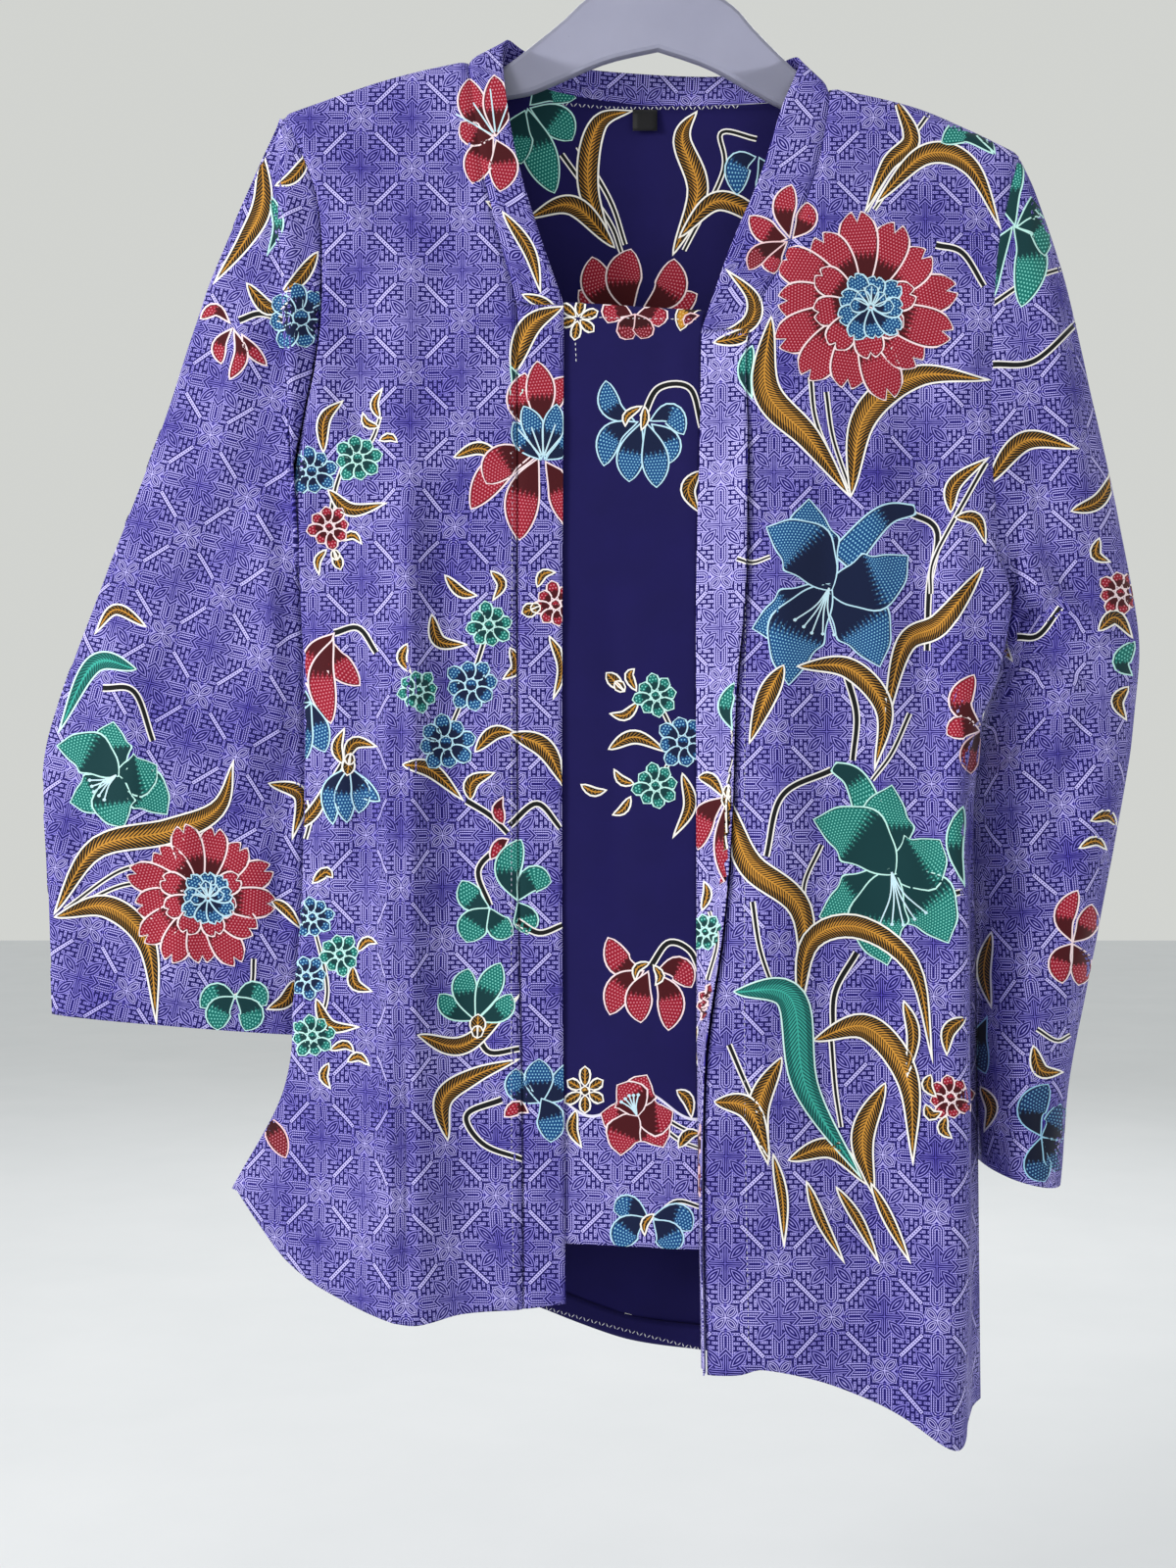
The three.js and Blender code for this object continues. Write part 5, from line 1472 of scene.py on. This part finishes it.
def draw_back_outside(d):
    """The back, which the photograph doesn't show: large bouquets on the violet cloth."""
    for px, py, hand in ((430, 400, 1), (820, 640, -1), (480, 960, 1), (900, 250, -1), (860, 1100, -1)):
        d.stem((px - 60 * hand, py + 150), (px - 20 * hand, py + 70), (px, py))
        d.leaf([(px + 20, py + 60), (px + 70, py + 95), (px + 120, py + 60)], 14)
        d.leaf([(px - 20, py + 60), (px - 75, py + 70), (px - 115, py + 25)], 14)
        d.leaf([(px + 60 * hand, py - 60), (px + 100 * hand, py - 90), (px + 105 * hand, py - 150)], 12)
        d.bloom(px, py, 44, "red", "blue", 15 * hand)
        d.daisy(px + 110 * hand, py + 20, 13, "teal")
        d.daisy(px - 95 * hand, py - 60, 13, "blue")
        d.bud((px - 50 * hand, py + 165), (px - 80 * hand, py + 205), 11)
    for px, py, hand in ((640, 270, 1), (640, 800, -1), (700, 1230, 1), (330, 700, 1), (1000, 860, -1)):
        tips = [(px + 66 * math.sin(k + hand), py - 66 * math.cos(k + hand)) for k in range(6)]
        d.lily((px, py), tips, 25, "teal" if hand > 0 else "blue", (px, py + 40))
        d.leaf([(px + 40, py + 30), (px + 70, py + 70), (px + 60, py + 120)], 11)
        d.leaf([(px - 40, py - 20), (px - 85, py - 30), (px - 110, py - 75)], 11)
        d.daisy(px - 60 * hand, py + 70, 11, "red")


# Cloth pieces. Each crease has its places in pixels of the photograph, then a half width and a height in mm.
BATIK = batik_material("printed_batik")
# A lighter copy of the same print, used on the left band: painted light, a lit copy of the cloth rather than
# a paler dye.
BATIK_PAINTED_LIGHTER = batik_material("printed_batik_painted_light", 0.35)
CENTRE_CLOTH = violet_material("violet_cotton_panel", 690)
VIOLET_CLOTH = violet_material("violet_cotton")

FRONT_RIGHT_CREASES = [
    ([(415, 430), (418, 700), (412, 960), (416, 1170)], 8, 2.6),
    ([(445, 470), (447, 760), (444, 1080)], 9, -1.6),
    ([(411, 620), (409, 860), (411, 1080), (413, 1390)], 3.4, -2.7),
    ([(400, 620), (398, 860), (400, 1080), (401, 1390)], 4.5, 1.9),
    ([(300, 380), (345, 440), (380, 530)], 10, 1.8),
    ([(330, 600), (352, 760), (345, 900)], 9, 1.4),
    ([(372, 640), (375, 900), (380, 1130)], 8, -1.3),
    ([(470, 240), (440, 330), (430, 430)], 12, -1.3),
    ([(352, 180), (372, 260), (410, 330)], 11, 1.3),
    ([(490, 560), (500, 780), (498, 1000)], 9, 1.0),
    ([(300, 1000), (320, 1090), (350, 1150)], 8, 1.3),
]
FRONT_LEFT_CREASES = [
    ([(983, 470), (975, 620), (978, 820), (985, 1050)], 8, 2.2),
    ([(955, 430), (945, 640), (950, 900)], 10, -1.8),
    ([(905, 330), (890, 520), (900, 760), (905, 1000)], 12, 1.6),
    ([(850, 420), (840, 680), (838, 980), (845, 1240)], 11, -1.4),
    ([(800, 480), (790, 760), (792, 1060)], 10, 1.4),
    ([(960, 250), (930, 330), (900, 390)], 12, 1.2),
    ([(1000, 330), (985, 380), (960, 430)], 8, 1.6),
    ([(930, 820), (925, 1000), (935, 1200)], 9, 1.5),
    ([(770, 860), (775, 1060), (780, 1240)], 8, 1.2),
]
SLEEVE_RIGHT_CREASES = [
    ([(289, 150), (296, 320), (306, 480), (309, 578)], 6, 1.8),
    ([(262, 300), (235, 420), (215, 560)], 10, 1.6),
    ([(240, 480), (200, 600), (160, 720)], 11, -1.5),
    ([(285, 560), (262, 700), (240, 830)], 10, 1.5),
    ([(300, 700), (290, 850), (282, 980)], 8, -1.2),
    ([(120, 640), (135, 760), (130, 900)], 11, 1.3),
    ([(190, 820), (185, 930), (180, 1040)], 10, 1.3),
    ([(75, 820), (95, 930), (100, 1000)], 9, -1.2),
    ([(292, 400), (300, 560), (304, 700), (302, 900), (300, 1040)], 6, 1.2),
    ([(262, 480), (280, 640), (288, 800)], 7, 1.6),
]
SLEEVE_LEFT_CREASES = [
    ([(1060, 260), (1085, 400), (1110, 540)], 9, 2.0),
    ([(1045, 420), (1075, 560), (1120, 640)], 9, -2.0),
    ([(1030, 560), (1080, 620), (1150, 650)], 8, 2.2),
    ([(1040, 640), (1085, 680), (1140, 690)], 8, -1.8),
    ([(1150, 720), (1110, 860), (1090, 1010)], 10, 1.8),
    ([(1035, 720), (1045, 880), (1040, 1050)], 10, 1.5),
    ([(1080, 1010), (1075, 1090), (1060, 1180)], 9, -1.3),
    ([(1002, 640), (994, 760), (990, 900), (990, 1040), (998, 1170)], 9, -3.6),
    ([(1010, 660), (1040, 632), (1090, 610)], 4.5, -2.2),
    ([(1020, 700), (1060, 690), (1110, 700)], 5, 2.0),
    ([(1120, 700), (1085, 800), (1070, 900)], 6, -1.2),
]
BACK_CREASES = [
    ([(330, 300), (400, 480), (430, 700)], 14, 2.2),
    ([(950, 330), (900, 520), (880, 760)], 14, 2.0),
    ([(520, 420), (530, 760), (520, 1120)], 15, -1.8),
    ([(660, 380), (668, 760), (672, 1250)], 16, 1.8),
    ([(800, 480), (808, 820), (800, 1260)], 14, -1.7),
    ([(430, 760), (420, 980), (430, 1200)], 12, 1.7),
    ([(900, 820), (905, 1050), (915, 1300)], 12, 1.6),
    ([(300, 900), (330, 1040), (370, 1180)], 10, -1.4),
]

front_right = cloth("front_right_cloth", RIGHT_FRONT.surface, (150, 690), BATIK,
                    FRONT_RIGHT_CREASES, 1.0, 11, sewn=("left", "right", "top"),
                    laps=(("right", 1.3, 120), ("left", 0.6, 60)))
front_left = cloth("front_left_cloth", LEFT_FRONT.surface, (165, 720), BATIK,
                   FRONT_LEFT_CREASES, 1.0, 12, sewn=("left", "right", "top"), laps=(("right", 5.0, 300),),
                   spread=5.0)
back = cloth("back_cloth", BACK.surface, (440, 720), VIOLET_CLOTH,
             BACK_CREASES, 1.0, 13, faces_front=False, sewn=("left", "right", "top"))
sleeve_right = cloth("sleeve_right_cloth", sleeve_surface(RIGHT_SLEEVE, RIGHT_FRONT, 0.0), (420, 500),
                     BATIK, SLEEVE_RIGHT_CREASES, 0.9, 14, tube=True, sewn=("top",),
                     tilt=-14.0)
sleeve_left = cloth("sleeve_left_cloth", sleeve_surface(LEFT_SLEEVE, LEFT_FRONT, 1.0), (430, 560),
                    BATIK, SLEEVE_LEFT_CREASES, 0.9, 15, tube=True, sewn=("top",),
                    tilt=5.0)
collar = cloth("collar_cloth", collar_surface, (600, 28), BATIK, (), 0.15, 16,
               sewn=("left", "right", "top"), unrolled=True)
band_right = cloth(
    "band_right_cloth",
    strip(lambda z: on_chain(RIGHT_BAND_SEAM, 2, z), guide_edge(RIGHT_BAND_EDGE),
          (RIGHT_JOINT, RIGHT_JOINT), RIGHT_BAND_BOTTOM),
    (27, 560), BATIK, (), 0.3, 17, sewn=("left", "top"))
# The left band wears the lighter copy of the print, which is painted light.
band_left = cloth(
    "band_left_cloth",
    strip(guide_edge(LEFT_BAND_EDGE), lambda z: on_chain(LEFT_BAND_SEAM, 2, z),
          (LEFT_JOINT, LEFT_JOINT), LEFT_BAND_BOTTOM),
    (30, 570), BATIK_PAINTED_LIGHTER, (), 0.3, 18, sewn=("top",),
    laps=(("right", 2.2, 20),))
centre = cloth(
    "centre_cloth",
    strip(guide_edge(RIGHT_BAND_EDGE, -4, 2.6), guide_edge(LEFT_BAND_EDGE, 2, 1.7),
          CENTRE_TOP, (CENTRE_BOTTOM, CENTRE_BOTTOM)),
    (80, 520), CENTRE_CLOTH,
    [([(690, 330), (700, 420), (705, 560)], 7, 0.6), ([(620, 560), (630, 760), (625, 980)], 9, -0.6)],
    0.25, 19)


# Turned-up hem of the back: the shares of the back's width between which it runs, and sizes in mm
TURN_UP_SPAN = (0.1, 0.94)
TURN_UP_WIDTH = 14
TURN_UP_RISE = 0.6
TURN_UP_GAP = 0.35


def turn_up(across, down):
    share = lerp(TURN_UP_SPAN[0], TURN_UP_SPAN[1], across)
    hem = BACK.surface(share, np.ones_like(share))[..., 2]
    z = hem + TURN_UP_WIDTH * (1 - down) + TURN_UP_RISE
    point = BACK.at(share, z, np.full_like(z, TOP_START))
    point[..., 1] -= CLOTH + TURN_UP_GAP
    return point


hem_strip = cloth("back_hem_cloth", turn_up, (330, TURN_UP_WIDTH), VIOLET_CLOTH, (), 0.0, 20,
                  faces_front=False, unrolled=True)


# Neck label: its left and right, its top and bottom, its gap from the back and how far it curls, mm
LABEL_SIDES = (-19.0, -5.0)
LABEL_HEIGHTS = (-127.0, -139.0)
LABEL_GAP = 2.4
LABEL_CURL = 0.9
LABEL_THREAD = 0.45


def label_surface(across, down):
    x = lerp(LABEL_SIDES[0], LABEL_SIDES[1], across)
    z = lerp(LABEL_HEIGHTS[0], LABEL_HEIGHTS[1], down)
    y = smooth(BACK_LINES[2], 2, z) - LABEL_GAP - LABEL_CURL * down ** 2
    return np.stack([x, y, z], -1)


def label_material():
    r = Recipe("black_satin_label", 0.45, 0.1)
    place, u, v = r.uv()
    thread = r.sum("SINE", r.times(v, 2 * math.pi / LABEL_THREAD))
    colour = r.mix(r.times(r.add(thread, 1.0), 0.5), linear("08080A"), linear("17161A"))
    r.weave(u, v, LABEL_THREAD, 0.3)
    return r.done(colour)


label = cloth("label_cloth", label_surface, (14, 12), label_material(), (), 0.0, 21,
              faces_front=False)

# Prints
SHEETS = {
    "front_right": front_right, "front_left": front_left, "back": back, "sleeve_right": sleeve_right,
    "sleeve_left": sleeve_left, "collar": collar, "band_right": band_right, "band_left": band_left,
    "centre_panel": centre, "back_hem": hem_strip, "size_label": label,
}


def printed(name, side="front"):
    return Print(name + "_print_" + side, SHEETS[name].name, side)


prints = {
    "front_right": [printed("front_right")],
    "front_left": [printed("front_left")],
    "back": [printed("back"), printed("back", "back")],
    "sleeve_right": [printed("sleeve_right"), printed("sleeve_right", "back")],
    "sleeve_left": [printed("sleeve_left"), printed("sleeve_left", "back")],
    "collar": [printed("collar")],
    "band_right": [printed("band_right")],
    "band_left": [printed("band_left")],
    "centre_panel": [printed("centre_panel")],
}
draw_front_right(Drawing(*prints["front_right"]))
draw_right_band_motifs(Drawing(prints["front_right"][0], prints["band_right"][0]))
draw_collar_right(Drawing(prints["front_right"][0], prints["collar"][0]))
draw_collar_left(Drawing(prints["front_left"][0], prints["collar"][0]))
draw_band_left(Drawing(*prints["band_left"]))
draw_front_left(Drawing(prints["front_left"][0], prints["band_left"][0]))
draw_sleeve_right(Drawing(prints["sleeve_right"][0]))
draw_sleeve_right(Drawing(prints["sleeve_right"][1], shift=(8.0, 6.0)))
draw_sleeve_left(Drawing(prints["sleeve_left"][0]))
draw_sleeve_left(Drawing(prints["sleeve_left"][1], shift=(-6.0, 10.0)))
draw_centre(Drawing(*prints["centre_panel"]))
draw_back_inside(Drawing(prints["back"][0]))
draw_back_outside(Drawing(prints["back"][1]))

SLOTS = {node["node"]: node["material_slot"] for node in frame["record"]["subparts"]}
for node, sheet in SHEETS.items():
    extras = [page.lay(SLOTS[node]) for page in prints.get(node, [])]
    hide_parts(node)


# Sewing: rows of stitches that lie on the cloth
THREAD = 0.55  # thickness of a stitch, mm


def thread_material(name, colour):
    r = Recipe(name, 0.7, 0.2)
    twist = r.noise(r.object_place(), 900.0, 2.0)
    return r.done(r.mix(twist, linear(colour), linear("FFFFFF")))


WHITE_THREAD = thread_material("white_thread", "D8D6E4")
VIOLET_THREAD = thread_material("violet_thread", "6A5FA8")


STITCH_LIFT = 0.1  # height of a stitch's middle over the cloth, mm


def stitches(name, node, route, length, gap, material, slant=0.0):
    """A row of stitches along a line of places in the photograph, each a small flat capsule."""
    page = Print(name, SHEETS[node].name)
    line = spline_points([spot(*place) for place in route], 200)
    run = np.concatenate([[0], np.cumsum(np.linalg.norm(np.diff(line, axis=0), axis=1))])
    for k in range(int(run[-1] / (length + gap))):
        middle = (k + 0.5) * (length + gap)
        x, z = (np.interp(middle, run, line[:, axis]) for axis in (0, 1))
        after = np.array([np.interp(middle + 1, run, line[:, axis]) for axis in (0, 1)])
        ahead = after - (x, z)
        turn = math.atan2(ahead[1], ahead[0]) + math.radians(slant) * (1 if k % 2 else -1)
        place, normal, direction, met = page.project(x, z)
        if not met:
            continue
        if normal.dot(direction) > 0:
            normal = -normal
            place = place + normal * CLOTH * MM
        made = bmesh.ops.create_icosphere(page.bm, subdivisions=1, radius=0.5 * MM)
        bmesh.ops.scale(page.bm, verts=made["verts"], vec=(length, 0.5 * THREAD, THREAD))
        middle_place = place + normal * STITCH_LIFT * MM
        spin = Matrix.Translation(middle_place) @ Matrix.Rotation(-turn, 4, "Y")
        bmesh.ops.transform(page.bm, verts=made["verts"], matrix=spin)
    keep(page.bm, name, [material])


stitches("centre_top_stitching", "centre_panel", [(582, 323), (650, 325), (716, 326)], 2.2, 0.9,
         WHITE_THREAD)
stitches("centre_tack", "centre_panel", [(587, 343), (588, 372)], 2.0, 1.0, WHITE_THREAD)
stitches("neck_overlock", "back", [(572, 106), (620, 109), (700, 110), (758, 108)], 3.2, -0.8,
         WHITE_THREAD, 55)
stitches("hem_overlock", "back_hem", [(556, 1334), (620, 1352), (720, 1378)], 2.6, -0.4, WHITE_THREAD, 55)
stitches("band_right_stitching", "front_right", [(523, 400), (522, 760), (522, 1150), (524, 1300)],
         2.0, 1.2, VIOLET_THREAD)
stitches("band_left_stitching", "front_left", [(762, 420), (760, 760), (760, 1100), (764, 1380)],
         2.0, 1.2, VIOLET_THREAD)


# Hanger
def hanger_material():
    r = Recipe("milky_plastic", 0.32, 0.0)
    shader = r.shader
    shader.inputs["IOR"].default_value = 1.49
    shader.inputs["Specular IOR Level"].default_value = 0.5
    shader.inputs["Transmission Weight"].default_value = 0.35
    shader.inputs["Subsurface Weight"].default_value = 0.3
    shader.inputs["Subsurface Radius"].default_value = (0.006, 0.006, 0.007)
    place = r.object_place()
    cloud = r.noise(place, 14.0, 4.0)
    scratch = r.noise(place, 260.0, 2.0)
    colour = r.mix(cloud, linear("8E8FA6"), linear("A6A7BC"))
    rough = r.add(0.24, r.times(scratch, 0.18))
    r.put(shader.inputs["Roughness"], rough)
    bump = r.nodes.new("ShaderNodeBump")
    bump.inputs["Strength"].default_value = 0.15
    bump.inputs["Distance"].default_value = 0.2 * MM
    r.links.new(scratch, bump.inputs["Height"])
    r.links.new(bump.outputs[0], shader.inputs["Normal"])
    return r.done(colour)


frame["nodes"]["hanger"].data.materials.clear()
frame["nodes"]["hanger"].data.materials.append(hanger_material())

# Floor, light and camera
FLOOR_HEIGHT = -1.08


def floor_material():
    r = Recipe("pale_floor", 0.9, 0.0)
    grain = r.noise(r.object_place(), 6.0, 4.0)
    return r.done(r.mix(grain, linear("DDE0E4"), linear("E6E8EC")))


bm = bmesh.new()
bmesh.ops.create_grid(bm, x_segments=2, y_segments=2, size=6)
bmesh.ops.translate(bm, verts=bm.verts[:], vec=(0, 0, FLOOR_HEIGHT))
floor_mesh = bpy.data.meshes.new("floor")
bm.to_mesh(floor_mesh)
bm.free()
floor_mesh.materials.append(floor_material())
floor = bpy.data.objects.new("floor", floor_mesh)
bpy.context.scene.collection.objects.link(floor)

world = bpy.data.worlds.new("pale_studio")
bpy.context.scene.world = world
world.use_nodes = True
world.node_tree.nodes["Background"].inputs["Color"].default_value = linear("EEF0EC")
world.node_tree.nodes["Background"].inputs["Strength"].default_value = 0.75


def area_light(name, place, aim, size, power, tint):
    data = bpy.data.lights.new(name, "AREA")
    data.shape = "RECTANGLE"
    data.size, data.size_y = size
    data.energy = power
    data.color = tint
    light = bpy.data.objects.new(name, data)
    light.location = place
    light.rotation_euler = (Vector(aim) - Vector(place)).to_track_quat("-Z", "Y").to_euler()
    bpy.context.scene.collection.objects.link(light)


MIDDLE = (-0.04, 0, -0.48)
area_light("window", (-1.9, -1.15, 0.3), MIDDLE, (0.7, 0.9), 38, (1, 0.98, 0.96))
area_light("fill", (1.6, -1.5, -0.3), MIDDLE, (1.4, 1.4), 4, (0.94, 0.96, 1))
area_light("rim", (0.3, 1.8, 0.6), MIDDLE, (1.6, 1.0), 14, (1, 1, 1))

bpy.context.scene.view_settings.view_transform = "Standard"
camera_data = bpy.data.cameras.new("camera")
camera_data.sensor_width = SENSOR
camera_data.lens = SENSOR * EYE_DISTANCE / (PHOTO_HEIGHT * MM_PER_PX)
camera = bpy.data.objects.new("camera", camera_data)
camera.matrix_world = Matrix.Translation(
    (VIEW_MIDDLE[0] * MM, -EYE_DISTANCE * MM, VIEW_MIDDLE[1] * MM)
) @ Matrix.Rotation(math.pi / 2, 4, "X")
bpy.context.scene.collection.objects.link(camera)
bpy.context.scene.camera = camera
